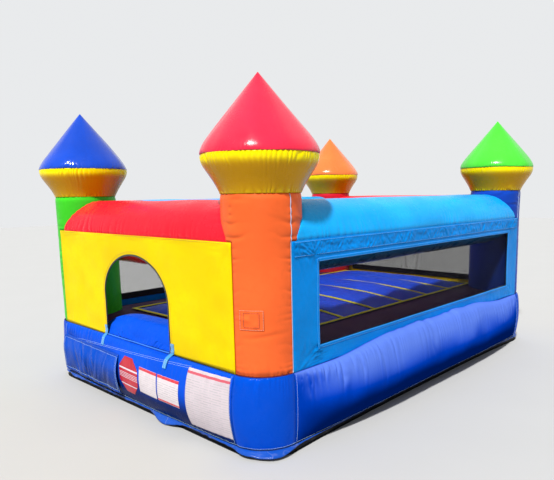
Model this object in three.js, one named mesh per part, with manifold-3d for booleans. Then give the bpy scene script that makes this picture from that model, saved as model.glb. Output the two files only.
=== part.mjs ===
// An open-top inflatable bounce house. Every air chamber is a thin shell that opens into the next one.
// Millimetres, +Z up. The origin is on the ground under the centre of the four columns; the door faces -Y.
import * as THREE from 'three';
import { mergeVertices } from 'three/addons/utils/BufferGeometryUtils.js';
import Module from 'manifold-3d';

const wasm = await Module();
wasm.setup();

// Driving dimensions
const COLUMN_X = 1149; // column axes, from the centre
const COLUMN_Y = 1716;
const COLUMN_RADIUS = 252;
const COLUMN_TOP = 1613;
const BEAM_RADIUS = 249;
const BEAM_Z = 1326; // the beams' axes, and the top of the wall sheets
const EQUATOR_Z = 1848;
const EQUATOR_RADIUS = 364;
const APEX_Z = 2334;
const BOWL_BULGE = 25; // how far the bowl stands out of a straight flare
const CONE_BULGE = 0.107; // how far the cone stands out of a straight one, as a share of its radius
const BASE_TOP = 512;
const GROUND_SHEET = 6;
const HEM = 40; // the upright band at the base's foot
const BASE_ROWS = 10; // rows of facets up the base
const SHELL = 8; // how thick the air chambers are drawn
const SHEET = 3; // how thick single sheets are drawn
const GAP = 0.3; // between pieces that touch
const ROUND = 24; // facets round a column, a beam or a turret
const LABEL = 1.5;
const LABEL_LIFT = 1.2; // keeps a label's facets clear of the base's
const BED = { x: 885, front: -1460, rear: 1700, edge: 575, crown: 70, bulge: 30, channels: 7, valley: 0.04 };
const DOOR = { left: -420, right: 460, spring: 850, top: 1180 };
const WINDOW = { bottom: 640, top: 1182, inset: 246, overlap: 25 };
const STEP = { x: 20, halfLength: 560, y: -1800, halfDepth: 165, top: 664 };
const FLAP = { left: -1150, right: -155, top: 410, bottom: 95, lift: 25 };
const ZIP = { left: -1110, right: -195, z: 300, halfWidth: 20 };
const SLIDER = { x: -1060, length: 34, height: 24, depth: 11, clear: 3 };
const SLEEVE = { along: 550, z: 175, radius: 125, inside: 60, outside: 510 };
const RING = { width: 50, reach: 42, wire: 3, eye: 5.2, strap: 60 };

// The four sides, anticlockwise from the front. Each is drawn facing -Y and then turned about Z.
const SIDES = [
  { name: 'front', along: COLUMN_X, out: COLUMN_Y, beam: 0xfe2f3f, sheet: 0xfeeb01 },
  { name: 'right', along: COLUMN_Y, out: COLUMN_X, beam: 0x37affe, sheet: 0x1673c4 },
  { name: 'rear', along: COLUMN_X, out: COLUMN_Y, beam: 0xfe2f3f, sheet: 0xfeeb01 },
  { name: 'left', along: COLUMN_Y, out: COLUMN_X, beam: 0x37affe, sheet: 0x1673c4 },
];
// How the air shapes each side of the base: bulge is how far it swells past the walls, narrowing to
// ends at the seams where narrows is 1. tuck draws its foot in and crest lifts its top, both mid side.
const SWELLING = {
  front: { bulge: [20, 105], ends: [20, 42], narrows: [0, 1], tuck: 0, crest: 0 },
  right: { bulge: [140, 140], ends: [14, 27], narrows: [1, 1], tuck: 35, crest: 62 },
  rear: { bulge: [110, 110], ends: [27, 27], narrows: [1, 1], tuck: 35, crest: 50 },
  left: { bulge: [140, 140], ends: [27, 20], narrows: [1, 1], tuck: 35, crest: 62 },
};
// The corner at the +X end of each side, in the same order.
const CORNERS = [
  { name: 'front_right', column: 0xf96f3c, cone: 0xf03048 },
  { name: 'rear_right', column: 0x1650c8, cone: 0x58dc40 },
  { name: 'rear_left', column: 0xe32337, cone: 0xf57b38 },
  { name: 'front_left', column: 0x4cc83a, cone: 0x1c50c0 },
];
const BASE_BLUE = 0x0747bf;
const BED_BLUE = 0x254fab;
const YELLOW = 0xe8c410;
const WEBBING_BLUE = 0x2f8fd8;
const BLACK = 0x15171c;
const PRINT_RED = 0xc8283c;
const PRINT_WHITE = 0xe9eef0;

const WALL_FACE = COLUMN_RADIUS + GAP + SHEET; // the walls' outer face, from the line of the column axes
const BASE_BOTTOM = GROUND_SHEET + 2 * GAP;
const object = new THREE.Group();
const { lerp, clamp, smoothstep, degToRad } = THREE.MathUtils;

// Adds one named piece to a group.
function piece(group, name, geometry, color, roughness = 0.4, metalness = 0) {
  const mesh = new THREE.Mesh(geometry, new THREE.MeshStandardMaterial({ color, roughness, metalness }));
  mesh.name = name;
  group.add(mesh);
  return mesh;
}

// A copy of a geometry with only its merged points.
function merged(geometry) {
  const bare = geometry.clone();
  bare.deleteAttribute('normal');
  bare.deleteAttribute('uv');
  return mergeVertices(bare, 1e-3);
}

function solidOf(geometry) {
  const bare = merged(geometry);
  const vertProperties = new Float32Array(bare.attributes.position.array);
  const triVerts = new Uint32Array(bare.index.array);
  return new wasm.Manifold(new wasm.Mesh({ numProp: 3, vertProperties, triVerts }));
}

function geometryOf(solid) {
  const mesh = solid.getMesh();
  const geometry = new THREE.BufferGeometry();
  geometry.setAttribute('position', new THREE.BufferAttribute(new Float32Array(mesh.vertProperties), 3));
  geometry.setIndex(new THREE.BufferAttribute(new Uint32Array(mesh.triVerts), 1));
  return geometry;
}

function cut(geometry, ...tools) {
  const left = tools.reduce((solid, tool) => solid.subtract(solidOf(tool)), solidOf(geometry));
  return geometryOf(left);
}

function joined(...geometries) {
  const whole = geometries.map(solidOf).reduce((a, b) => a.add(b));
  return geometryOf(whole);
}

// The closed body between two surfaces, outer(u, v) and inner(u, v), with u and v from 0 to 1.
// Outer faces along du x dv. With closed, u runs all the way round.
function between(outer, inner, uSteps, vSteps, closed = false) {
  const columns = closed ? uSteps : uSteps + 1;
  const points = [];
  for (const surface of [outer, inner]) {
    for (let i = 0; i < columns; i++) {
      for (let j = 0; j <= vSteps; j++) {
        points.push(...surface(i / uSteps, j / vSteps).toArray());
      }
    }
  }
  const layer = columns * (vSteps + 1);
  const at = (side, i, j) => side * layer + (i % columns) * (vSteps + 1) + j;
  const faces = [];
  const quad = (a, b, c, d) => faces.push(a, b, c, a, c, d);
  for (let i = 0; i < uSteps; i++) {
    for (let j = 0; j < vSteps; j++) {
      quad(at(0, i, j), at(0, i + 1, j), at(0, i + 1, j + 1), at(0, i, j + 1));
      quad(at(1, i, j), at(1, i, j + 1), at(1, i + 1, j + 1), at(1, i + 1, j));
    }
    quad(at(0, i, 0), at(1, i, 0), at(1, i + 1, 0), at(0, i + 1, 0));
    quad(at(0, i, vSteps), at(0, i + 1, vSteps), at(1, i + 1, vSteps), at(1, i, vSteps));
  }
  if (!closed) {
    for (let j = 0; j < vSteps; j++) {
      quad(at(0, 0, j), at(0, 0, j + 1), at(1, 0, j + 1), at(1, 0, j));
      quad(at(0, uSteps, j), at(1, uSteps, j), at(1, uSteps, j + 1), at(0, uSteps, j + 1));
    }
  }
  const geometry = new THREE.BufferGeometry();
  geometry.setAttribute('position', new THREE.BufferAttribute(new Float32Array(points), 3));
  geometry.setIndex(faces);
  return geometry;
}

// A body turned about Z from a list of [radius, z] points.
function turned(points, segments) {
  const profile = points.map(([radius, z]) => new THREE.Vector2(radius, z));
  const geometry = new THREE.LatheGeometry(profile, segments);
  geometry.rotateX(Math.PI / 2);
  return geometry;
}

// A tube along Z, open at both ends.
function tube(radius, thickness, bottom, top, segments) {
  const inside = radius - thickness;
  const ring = [[inside, bottom], [radius, bottom], [radius, top], [inside, top], [inside, bottom]];
  return turned(ring, segments);
}

// A solid cylinder along Z, for cutting.
function rod(radius, bottom, top, segments) {
  const geometry = new THREE.CylinderGeometry(radius, radius, top - bottom, segments);
  geometry.rotateX(Math.PI / 2);
  geometry.translate(0, 0, (top + bottom) / 2);
  return geometry;
}

// How far the foot of the base is drawn in at x along a side.
function tuck(side, x) {
  return SWELLING[side.name].tuck * (1 - clamp(Math.abs(x / side.along), 0, 1) ** 3);
}

// How far the base stands out past the wall face, at x along a side.
function swell(side, x, z) {
  const { bulge, ends, narrows } = SWELLING[side.name];
  const t = clamp(x / side.along, -1, 1);
  const end = t < 0 ? 0 : 1;
  const full = lerp(bulge[0], bulge[1], Math.sin((Math.PI / 4) * (1 + t)));
  const reach = lerp(full, ends[end], (t * narrows[end]) ** 4);
  const share = clamp((z - HEM) / (BASE_TOP - HEM), 0, 1);
  const roundness = Math.sin(Math.PI * share) ** lerp(0.7, 0.3, share);
  return reach * roundness - tuck(side, x) * (1 - share) ** 6;
}

// How far the base's top rises there above the seam at the foot of the wall.
function crest(side, x, z) {
  const share = clamp((z - HEM) / (BASE_TOP - HEM), 0, 1);
  const along = 1 - smoothstep(Math.abs(x / side.along), 0.35, 0.8);
  return SWELLING[side.name].crest * along * smoothstep(share, 0.5, 1);
}

// A point on a side's base, x along the side and lift clear of its surface.
function onBase(side, x, z, lift) {
  const out = side.out + WALL_FACE + swell(side, x, z) + lift;
  return new THREE.Vector3(x, -out, z + crest(side, x, z));
}

// A patch that follows a side's base.
function basePatch(side, left, right, bottom, top, lift, thickness, uSteps, vSteps) {
  const surface = (extra) => (u, v) => onBase(side, lerp(left, right, u), lerp(bottom, top, v), extra);
  return between(surface(lift + thickness), surface(lift), uSteps, vSteps);
}

// Rows of points up the base, closest together where it curves most.
function baseRow(v) {
  const share = (v * BASE_ROWS - 1) / (BASE_ROWS - 1);
  return share < 0 ? BASE_BOTTOM : lerp(HEM, BASE_TOP, (1 - Math.cos(Math.PI * share)) / 2);
}

// A side's panel, grown outwards by extra. It's solid where it swells up beside the wall sheet.
function baseSide(side, extra, ...tools) {
  const reach = side.along - GAP;
  const place = (u, v, lift) => onBase(side, lerp(-reach, reach, u), baseRow(v), lift);
  const inner = (u, v) => place(u, v, -SHELL).setZ(baseRow(v));
  const panel = between((u, v) => place(u, v, extra), inner, 18, BASE_ROWS);
  const sheet = new THREE.BoxGeometry(3 * side.along, 100, 200);
  sheet.translate(0, 50 - side.out - WALL_FACE - GAP, BASE_TOP + 100);
  return SWELLING[side.name].crest ? cut(panel, sheet, ...tools) : panel;
}

// The rounded corner at a side's +X end, whose swelling turns into the next side's.
function baseCorner(side, next) {
  const surface = (thickness) => (u, v) => {
    const z = baseRow(v);
    const reach = lerp(swell(side, side.along, z), swell(next, -next.along, z), smoothstep(u, 0, 1));
    const angle = (Math.PI / 2) * (u - 1);
    const radius = WALL_FACE + reach - thickness;
    return new THREE.Vector3(
      side.along + radius * Math.cos(angle),
      -side.out + radius * Math.sin(angle),
      z,
    );
  };
  return between(surface(0), surface(SHELL), 6, BASE_ROWS);
}

// The heavy sheet under everything, cut to the base's foot.
function groundSheet() {
  const edge = WALL_FACE + SHELL;
  const points = [];
  const centre = new THREE.Vector2();
  SIDES.forEach((side, k) => {
    const add = (x, y) => points.push(new THREE.Vector2(x, y).rotateAround(centre, (k * Math.PI) / 2));
    for (let i = 0; i <= 12; i++) {
      const x = lerp(-side.along, side.along, i / 12);
      add(x, tuck(side, x) - side.out - edge);
    }
    for (let i = 1; i < 8; i++) {
      const angle = (Math.PI / 2) * (i / 8 - 1);
      add(side.along + edge * Math.cos(angle), edge * Math.sin(angle) - side.out);
    }
  });
  const shape = new THREE.Shape(points);
  return new THREE.ExtrudeGeometry(shape, { depth: GROUND_SHEET, bevelEnabled: false });
}

// Stations across the bed, from its centre line to its edge. The last step lies under the edge strip.
const BED_HALF = [0, 0.4, 0.75, 0.968, 1];
const BED_ACROSS = [...BED_HALF.slice(1).map((share) => -share).reverse(), ...BED_HALF];
const bedX = (u) => BED.x * BED_ACROSS[Math.round(u * (BED_ACROSS.length - 1))];

// The bed's top: a low crown, with one bulge across each channel and a flat valley at each seam.
function bedTop(x, y) {
  const across = x / BED.x;
  const share = (y - BED.front) / (BED.rear - BED.front);
  const crown = BED.crown * (1 - across ** 2) * (1 - (2 * share - 1) ** 4);
  const place = (share * BED.channels) % 1;
  const inside = clamp((place - BED.valley) / (1 - 2 * BED.valley), 0, 1);
  const taper = 1 - Math.min(1, Math.abs(x) / (BED.x * BED_ACROSS.at(-2))) ** 6;
  return BED.edge + crown + BED.bulge * Math.sin(Math.PI * inside) * taper;
}

const channelWidth = (BED.rear - BED.front) / BED.channels;
const seamY = (k) => BED.front + k * channelWidth;

// Stations along the bed: each channel's two valley edges and the points of its bulge.
function bedStations() {
  const stations = [];
  const shares = [BED.valley, 0.3, 0.7, 1 - BED.valley];
  for (let k = 0; k < BED.channels; k++) {
    stations.push(...shares.map((share) => seamY(k + share)));
  }
  return [BED.front, ...stations, BED.rear];
}

function jumpBed() {
  const stations = bedStations();
  const last = stations.length - 1;
  const surface = (depth) => (u, v) => {
    const x = bedX(u);
    const y = stations[Math.round(v * last)];
    return new THREE.Vector3(x, y, bedTop(x, y) - depth);
  };
  return between(surface(0), surface(SHELL), BED_ACROSS.length - 1, last);
}

// The strips sewn along the bed's seams and round its edge, joined into one ladder.
function bedStrips() {
  const half = 14;
  const clear = 1;
  const outerX = BED.x + half / 2;
  const strip = (y) => {
    const surface = (lift) => (u, v) => {
      const x = bedX(u);
      return new THREE.Vector3(x, y + lerp(-half, half, v), bedTop(x, y) + clear + lift);
    };
    return between(surface(SHEET), surface(0), BED_ACROSS.length - 1, 1);
  };
  const strips = [];
  for (let k = 1; k < BED.channels; k++) {
    strips.push(strip(seamY(k)));
  }
  const edgeZ = BED.edge + 4.8;
  const bar = (x, y, width, length) => {
    const geometry = new THREE.BoxGeometry(width, length, SHEET);
    geometry.translate(x, y, edgeZ + SHEET / 2);
    return geometry;
  };
  const middle = (BED.front + BED.rear) / 2;
  const length = BED.rear - BED.front + 2 * half;
  for (const end of [-1, 1]) {
    strips.push(bar(end * (outerX - half), middle, 2 * half, length));
  }
  strips.push(bar(0, BED.front, 2 * outerX, 2 * half), bar(0, BED.rear, 2 * outerX, 2 * half));
  return joined(...strips);
}

// A sheet inside the bed that holds one seam down, with two round air passages.
function baffle(y) {
  const reach = BED.x * BED_ACROSS.at(-2);
  const foot = BASE_BOTTOM + GAP;
  const shape = new THREE.Shape();
  shape.moveTo(-reach, foot);
  shape.lineTo(reach, foot);
  for (const share of BED_ACROSS.slice(1, -1).reverse()) {
    const x = BED.x * share;
    shape.lineTo(x, bedTop(x, y) - SHELL - 2);
  }
  for (const side of [-1, 1]) {
    const hole = new THREE.Path();
    hole.absarc((side * BED.x) / 2, BED.edge / 2, 90, 0, 2 * Math.PI, true);
    shape.holes.push(hole);
  }
  const geometry = new THREE.ExtrudeGeometry(shape, { depth: SHEET, bevelEnabled: false, curveSegments: 8 });
  geometry.rotateX(Math.PI / 2);
  geometry.translate(0, y + SHEET / 2, 0);
  return geometry;
}

// Points round a rounded rectangle, always as many, so that two of them can be paired.
function outline(xLow, xHigh, yLow, yHigh, radius, sideSteps, arcSteps) {
  const points = [];
  const centres = [[xHigh, yLow, -90], [xHigh, yHigh, 0], [xLow, yHigh, 90], [xLow, yLow, 180]];
  const centre = ([x, y]) => new THREE.Vector2(x - Math.sign(x) * radius, y - Math.sign(y) * radius);
  centres.forEach((corner, k) => {
    const angleAt = (i) => degToRad(corner[2] + (90 * i) / arcSteps);
    const arc = (i) => centre(corner).add(new THREE.Vector2(Math.cos(angleAt(i)), Math.sin(angleAt(i)))
      .multiplyScalar(radius));
    for (let i = 0; i <= arcSteps; i++) {
      points.push(arc(i));
    }
    const next = centres[(k + 1) % 4];
    const start = arc(arcSteps);
    const nextAngle = degToRad(next[2]);
    const end = centre(next).add(new THREE.Vector2(Math.cos(nextAngle), Math.sin(nextAngle))
      .multiplyScalar(radius));
    for (let i = 1; i < sideSteps; i++) {
      points.push(start.clone().lerp(end, i / sideSteps));
    }
  });
  return points;
}

// Height of the base's top between the walls and the bed.
function rimTop(y) {
  const outside = y < 0 ? -(COLUMN_Y + WALL_FACE) : COLUMN_Y + WALL_FACE;
  const inside = y < 0 ? BED.front : BED.rear;
  return lerp(BASE_TOP, BED.edge, clamp((y - outside) / (inside - outside), 0, 1));
}

// The base's top between the walls and the bed, open at the columns, where the air goes up.
function baseRim() {
  const edge = WALL_FACE - SHELL - GAP;
  const steps = [5, 3];
  const outside = outline(
    -COLUMN_X - edge, COLUMN_X + edge, -COLUMN_Y - edge, COLUMN_Y + edge, edge, ...steps);
  const clear = 3 * GAP;
  const inside = outline(
    -BED.x - clear, BED.x + clear, BED.front - clear, BED.rear + clear, clear, ...steps);
  const surface = (depth) => (u, v) => {
    const i = Math.round(u * outside.length) % outside.length;
    const place = outside[i].clone().lerp(inside[i], v);
    return new THREE.Vector3(place.x, place.y, lerp(BASE_TOP, BED.edge, v) - depth);
  };
  const ring = between(surface(0), surface(SHELL), outside.length, 2, true);
  const tools = [];
  for (const x of [-COLUMN_X, COLUMN_X]) {
    for (const y of [-COLUMN_Y, COLUMN_Y]) {
      tools.push(rod(COLUMN_RADIUS + GAP, 0, COLUMN_TOP, ROUND).translate(x, y, 0));
    }
  }
  return cut(ring, ...tools);
}

// The pillow that children step over, just inside the door.
function doorStep() {
  const surface = (depth) => (u, v) => {
    const a = 2 * u - 1;
    const b = -Math.cos(Math.PI * v);
    const y = STEP.y + b * STEP.halfDepth;
    const floor = rimTop(y) + SHELL + 1;
    const height = (STEP.top - floor) * Math.sqrt((1 - a ** 6) * (1 - Math.abs(b) ** (b < 0 ? 4 : 2)));
    return new THREE.Vector3(STEP.x + a * STEP.halfLength, y, floor + height - depth);
  };
  return between(surface(0), surface(SHELL), 10, 10);
}

// A flat wall sheet drawn in a side's own frame: shape x runs along the side and shape y is height.
function wallSheet(side, shape) {
  const options = { depth: SHEET, bevelEnabled: false, curveSegments: 12 };
  const geometry = new THREE.ExtrudeGeometry(shape, options);
  geometry.rotateX(Math.PI / 2);
  geometry.translate(0, -(side.out + WALL_FACE - SHEET), 0);
  return geometry;
}

function doorWall(side) {
  const middle = (DOOR.left + DOOR.right) / 2;
  const half = (DOOR.right - DOOR.left) / 2;
  const foot = BASE_TOP + GAP;
  const shape = new THREE.Shape();
  shape.moveTo(-side.along, foot);
  shape.lineTo(DOOR.left, foot);
  shape.lineTo(DOOR.left, DOOR.spring);
  shape.absellipse(middle, DOOR.spring, half, DOOR.top - DOOR.spring, Math.PI, 0, true);
  shape.lineTo(DOOR.right, foot);
  shape.lineTo(side.along, foot);
  shape.lineTo(side.along, BEAM_Z);
  shape.lineTo(-side.along, BEAM_Z);
  return wallSheet(side, shape);
}

function rectangle(left, right, bottom, top, Kind = THREE.Shape) {
  const path = new Kind();
  path.moveTo(left, bottom);
  path.lineTo(right, bottom);
  path.lineTo(right, top);
  path.lineTo(left, top);
  path.closePath();
  return path;
}

function windowWall(side) {
  const shape = rectangle(-side.along, side.along, BASE_TOP + GAP, BEAM_Z);
  const half = side.along - WINDOW.inset;
  shape.holes.push(rectangle(-half, half, WINDOW.bottom, WINDOW.top, THREE.Path));
  return wallSheet(side, shape);
}

// The black netting, sewn to the inside of the wall round its window.
function windowMesh(side) {
  const half = side.along - WINDOW.inset + WINDOW.overlap;
  const height = WINDOW.top - WINDOW.bottom + 2 * WINDOW.overlap;
  const geometry = new THREE.BoxGeometry(2 * half, SHEET - 1, height);
  const y = -(side.out + WALL_FACE - SHEET - GAP - (SHEET - 1) / 2);
  geometry.translate(0, y, (WINDOW.top + WINDOW.bottom) / 2);
  return geometry;
}

// A beam between two columns, trimmed where it runs into them and mitred against the next beams.
function beam(side) {
  const whole = tube(BEAM_RADIUS, SHELL, -side.along, side.along, ROUND);
  whole.rotateY(Math.PI / 2);
  whole.translate(0, -side.out, BEAM_Z);
  const size = 4 * BEAM_RADIUS;
  const tools = [];
  for (const end of [-1, 1]) {
    const mitre = new THREE.BoxGeometry(size, size, size).translate(size / 2 - GAP, 0, 0);
    mitre.rotateZ(Math.PI / 2 - (end * Math.PI) / 4);
    tools.push(mitre.translate(end * side.along, -side.out, BEAM_Z));
    tools.push(rod(COLUMN_RADIUS + GAP, 0, 2 * BEAM_Z, ROUND).translate(end * side.along, -side.out, 0));
  }
  return cut(whole, ...tools);
}

// The turret's bowl flares nearly straight from the column and then rounds over into its seam.
function bowl() {
  const rise = EQUATOR_Z - COLUMN_TOP;
  const shares = [0, 0.4, 0.75, 0.9, 1];
  const width = (share) => lerp(COLUMN_RADIUS, EQUATOR_RADIUS, share)
    + BOWL_BULGE * Math.sin(Math.PI * share ** 2.4);
  const outside = shares.map((share) => [width(share), COLUMN_TOP + GAP + share * (rise - GAP)]);
  const inside = outside.map(([radius, z]) => [radius - SHELL, z]).reverse();
  return turned([...outside, ...inside, outside[0]], ROUND);
}

// The turret's cone stands nearly upright at its foot and then runs straight to the point.
function cone() {
  const rise = APEX_Z - EQUATOR_Z - GAP;
  const shares = [0, 0.06, 0.14, 0.3, 1];
  const width = (share) => (1 - share) * (1 + CONE_BULGE * (1 - Math.exp(-share / 0.09)));
  const outside = shares.map((share) => [EQUATOR_RADIUS * width(share), EQUATOR_Z + GAP + rise * share]);
  const shrink = (EQUATOR_RADIUS - SHELL) / EQUATOR_RADIUS;
  const inside = outside.map(([radius, z]) => [
    radius * shrink,
    EQUATOR_Z + GAP + (z - EQUATOR_Z - GAP) * shrink,
  ]);
  return turned([...inside.reverse(), ...outside], ROUND);
}

// A tab of webbing sewn over the seam at the foot of the door.
function doorTab(side, x) {
  const half = 20;
  const upper = new THREE.BoxGeometry(2 * half, SHEET, 80);
  upper.translate(x, -(side.out + WALL_FACE + GAP + SHEET / 2), BASE_TOP + 41);
  const lower = basePatch(side, x - half, x + half, BASE_TOP - 75, BASE_TOP + 10, GAP, SHEET + 1, 1, 10);
  return cut(joined(upper, lower), baseSide(side, GAP));
}

// The patch on the front right column, a third of the way round from the front.
function columnPatch() {
  const angle = degToRad(-61);
  const half = 78 / COLUMN_RADIUS;
  const surface = (lift) => (u, v) => {
    const turn = angle + lerp(-half, half, u);
    const radius = COLUMN_RADIUS + LABEL_LIFT + lift;
    const z = lerp(803, 928, v);
    return new THREE.Vector3(COLUMN_X + radius * Math.cos(turn), radius * Math.sin(turn) - COLUMN_Y, z);
  };
  return between(surface(2), surface(0), 6, 1);
}

// An octagonal patch on the base, with a flat edge at the top. Its two surfaces close at the middle.
function octagonPatch(side, centreX, centreZ, radius) {
  const eighth = Math.PI / 4;
  const surface = (lift) => (u, v) => {
    const turn = 2 * Math.PI * u + eighth / 2;
    const flat = Math.cos(eighth / 2) / Math.cos((turn % eighth) - eighth / 2);
    const reach = radius * flat * lerp(1, 0.02, v);
    return onBase(side, centreX + reach * Math.sin(turn), centreZ - reach * Math.cos(turn), lift);
  };
  return between(surface(LABEL_LIFT + LABEL), surface(LABEL_LIFT), 16, 4, true);
}

// The zip that lets the air out. It runs along the straight line between its ends.
function zipAngle(side) {
  const start = onBase(side, ZIP.left, ZIP.z, 0);
  const end = onBase(side, ZIP.right, ZIP.z, 0);
  return Math.atan2(end.y - start.y, end.x - start.x);
}

// The slider: a bridge over the zip, with a flat pull lying along it.
function zipSlider(side) {
  const body = new THREE.BoxGeometry(SLIDER.length, SLIDER.depth, SLIDER.height);
  const pull = new THREE.BoxGeometry(45, 3, 12).translate(30, -1, 0);
  const hole = new THREE.CylinderGeometry(3, 3, 20, 12).translate(46, 0, 0);
  const slider = cut(joined(body, pull), hole);
  slider.rotateZ(zipAngle(side));
  const place = onBase(side, SLIDER.x, ZIP.z, SHEET + SLIDER.clear + SLIDER.depth / 2);
  return slider.translate(...place.toArray());
}

// The cover over the zip, sewn on along its top edge and free at the other three.
function zipFlap(side) {
  const surface = (thickness) => (u, v) => {
    const z = lerp(FLAP.bottom, FLAP.top, v);
    const lift = GAP + FLAP.lift * Math.sin((Math.PI / 2) * Math.min(1, 2.2 * (1 - v)));
    return onBase(side, lerp(FLAP.left, FLAP.right, u), z, lift + thickness);
  };
  return between(surface(2), surface(0), 8, 7);
}

// The strap's loop that holds an anchor ring, lying on the ground outside the base.
function anchorLoop() {
  const eye = new THREE.Shape();
  const tail = RING.strap;
  eye.moveTo(-tail, -RING.eye);
  eye.lineTo(0, -RING.eye);
  eye.absarc(0, 0, RING.eye, -Math.PI / 2, 2.5, false);
  eye.lineTo(-tail, 1 - RING.eye + SHEET);
  const bore = new THREE.Path();
  bore.absarc(0, 0, RING.wire + GAP, 0, 2 * Math.PI, true);
  eye.holes.push(bore);
  const width = RING.width - 2 * RING.wire - 4;
  const geometry = new THREE.ExtrudeGeometry(eye, { depth: width, bevelEnabled: false, curveSegments: 8 });
  geometry.translate(0, 0, -width / 2);
  geometry.rotateX(Math.PI / 2);
  return geometry.rotateZ(-Math.PI / 2);
}

// A D-shaped ring, its straight bar along X and its bow towards -Y.
function anchorRing() {
  const half = RING.width / 2;
  const path = new THREE.CurvePath();
  const bow = [];
  const steps = 12;
  for (let i = 0; i <= steps; i++) {
    const angle = (-Math.PI * i) / steps;
    bow.push(new THREE.Vector3(half * Math.cos(angle), RING.reach * Math.sin(angle), 0));
  }
  for (let i = 0; i < steps; i++) {
    path.add(new THREE.LineCurve3(bow[i], bow[i + 1]));
  }
  path.add(new THREE.LineCurve3(bow[steps], bow[0]));
  const dense = path.getSpacedPoints(28).slice(0, -1);
  const curve = new THREE.CatmullRomCurve3(dense, true, 'centripetal');
  return new THREE.TubeGeometry(curve, 28, RING.wire, 6, true);
}

// The fabric sleeve that a blower is tied into.
function inflationSleeve(side) {
  const start = side.out + WALL_FACE + SLEEVE.inside;
  const end = side.out + WALL_FACE + SLEEVE.outside;
  const geometry = tube(SLEEVE.radius, SHEET, start, end, ROUND);
  geometry.rotateX(Math.PI / 2);
  return geometry.translate(SLEEVE.along, 0, SLEEVE.z);
}

function sleeveHole(side) {
  const tool = rod(SLEEVE.radius + 1.5, side.out, side.out + 2 * WALL_FACE, ROUND);
  tool.rotateX(Math.PI / 2);
  return tool.translate(SLEEVE.along, 0, SLEEVE.z);
}

piece(object, 'ground_sheet', groundSheet(), BLACK, 0.7);
piece(object, 'base_rim', baseRim(), BASE_BLUE, 0.35);
piece(object, 'jump_bed', jumpBed(), BED_BLUE, 0.4);
piece(object, 'bed_seam_strips', bedStrips(), YELLOW, 0.5);
for (let k = 1; k < BED.channels; k++) {
  piece(object, `bed_baffle_${k}`, baffle(seamY(k)), BASE_BLUE, 0.6);
}
piece(object, 'door_step', doorStep(), BASE_BLUE, 0.3);
piece(object, 'column_patch', columnPatch(), CORNERS[0].column, 0.5);

SIDES.forEach((side, k) => {
  const next = SIDES[(k + 1) % SIDES.length];
  const corner = CORNERS[k];
  const group = new THREE.Group();
  group.rotation.z = (k * Math.PI) / 2;
  object.add(group);

  const panel = side.name === 'rear' ? baseSide(side, 0, sleeveHole(side)) : baseSide(side, 0);
  piece(group, `base_${side.name}`, panel, BASE_BLUE, 0.3);
  piece(group, `base_corner_${corner.name}`, baseCorner(side, next), BASE_BLUE, 0.3);
  piece(group, `beam_${side.name}`, beam(side), side.beam, 0.35);

  const hasDoor = side.name === 'front';
  piece(group, `wall_${side.name}`, hasDoor ? doorWall(side) : windowWall(side), side.sheet, 0.45);
  if (!hasDoor) {
    piece(group, `window_mesh_${side.name}`, windowMesh(side), BLACK, 0.8);
  }

  const turret = new THREE.Group();
  turret.position.set(side.along, -side.out, 0);
  group.add(turret);
  const column = tube(COLUMN_RADIUS, SHELL, BASE_TOP + GAP, COLUMN_TOP, ROUND);
  piece(turret, `column_${corner.name}`, column, corner.column, 0.4);
  piece(turret, `turret_bowl_${corner.name}`, bowl(), YELLOW, 0.35);
  piece(turret, `turret_cone_${corner.name}`, cone(), corner.cone, 0.25);
});

const [front, , rear, left] = SIDES;
piece(object, 'door_tab_left', doorTab(front, DOOR.left - 10), WEBBING_BLUE, 0.7);
piece(object, 'door_tab_right', doorTab(front, DOOR.right + 28), WEBBING_BLUE, 0.7);
piece(object, 'zip_flap', zipFlap(front), BASE_BLUE, 0.35);
const tapeEdges = [ZIP.z - ZIP.halfWidth, ZIP.z + ZIP.halfWidth];
const tape = basePatch(front, ZIP.left, ZIP.right, ...tapeEdges, GAP, SHEET, 10, 2);
piece(object, 'zip_tape', tape, BLACK, 0.8);
piece(object, 'zip_slider', zipSlider(front), 0xb8bcc0, 0.3, 1);
piece(object, 'label_octagon', octagonPatch(front, 0, 280, 140), PRINT_RED, 0.4);
const twin = basePatch(front, 165, 665, 195, 384, LABEL_LIFT, LABEL, 6, 6);
piece(object, 'label_twin', twin, PRINT_WHITE, 0.4);
const large = basePatch(front, 740, 1135, 92, 492, LABEL_LIFT, LABEL, 5, 12);
piece(object, 'label_large', large, PRINT_WHITE, 0.4);
const sleeveGroup = new THREE.Group();
sleeveGroup.rotation.z = Math.PI;
object.add(sleeveGroup);
piece(sleeveGroup, 'inflation_sleeve', inflationSleeve(rear), BASE_BLUE, 0.6);

// Two anchors on the left side and two at the rear.
const anchors = [
  { side: left, turn: 1.5 * Math.PI, x: -1100, name: 'left_rear' },
  { side: left, turn: 1.5 * Math.PI, x: 1100, name: 'left_front' },
  { side: rear, turn: Math.PI, x: -750, name: 'rear_right' },
  { side: rear, turn: Math.PI, x: 750, name: 'rear_left' },
];
for (const { side, turn, x, name } of anchors) {
  const group = new THREE.Group();
  group.rotation.z = turn;
  object.add(group);
  const y = tuck(side, x) - (side.out + WALL_FACE + SHELL + 3 * GAP + RING.strap);
  piece(group, `anchor_loop_${name}`, anchorLoop(), WEBBING_BLUE, 0.7).position.set(x, y, RING.eye + GAP);
  piece(group, `anchor_ring_${name}`, anchorRing(), 0xc0c4c8, 0.25, 1).position.set(x, y, RING.eye + GAP);
}

export default object;
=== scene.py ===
"""An inflatable bounce house: high-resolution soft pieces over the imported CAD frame. Metres, +Z up."""
import math
from types import SimpleNamespace as Side

import bpy
import numpy as np
from mathutils import Matrix, Vector


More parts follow.
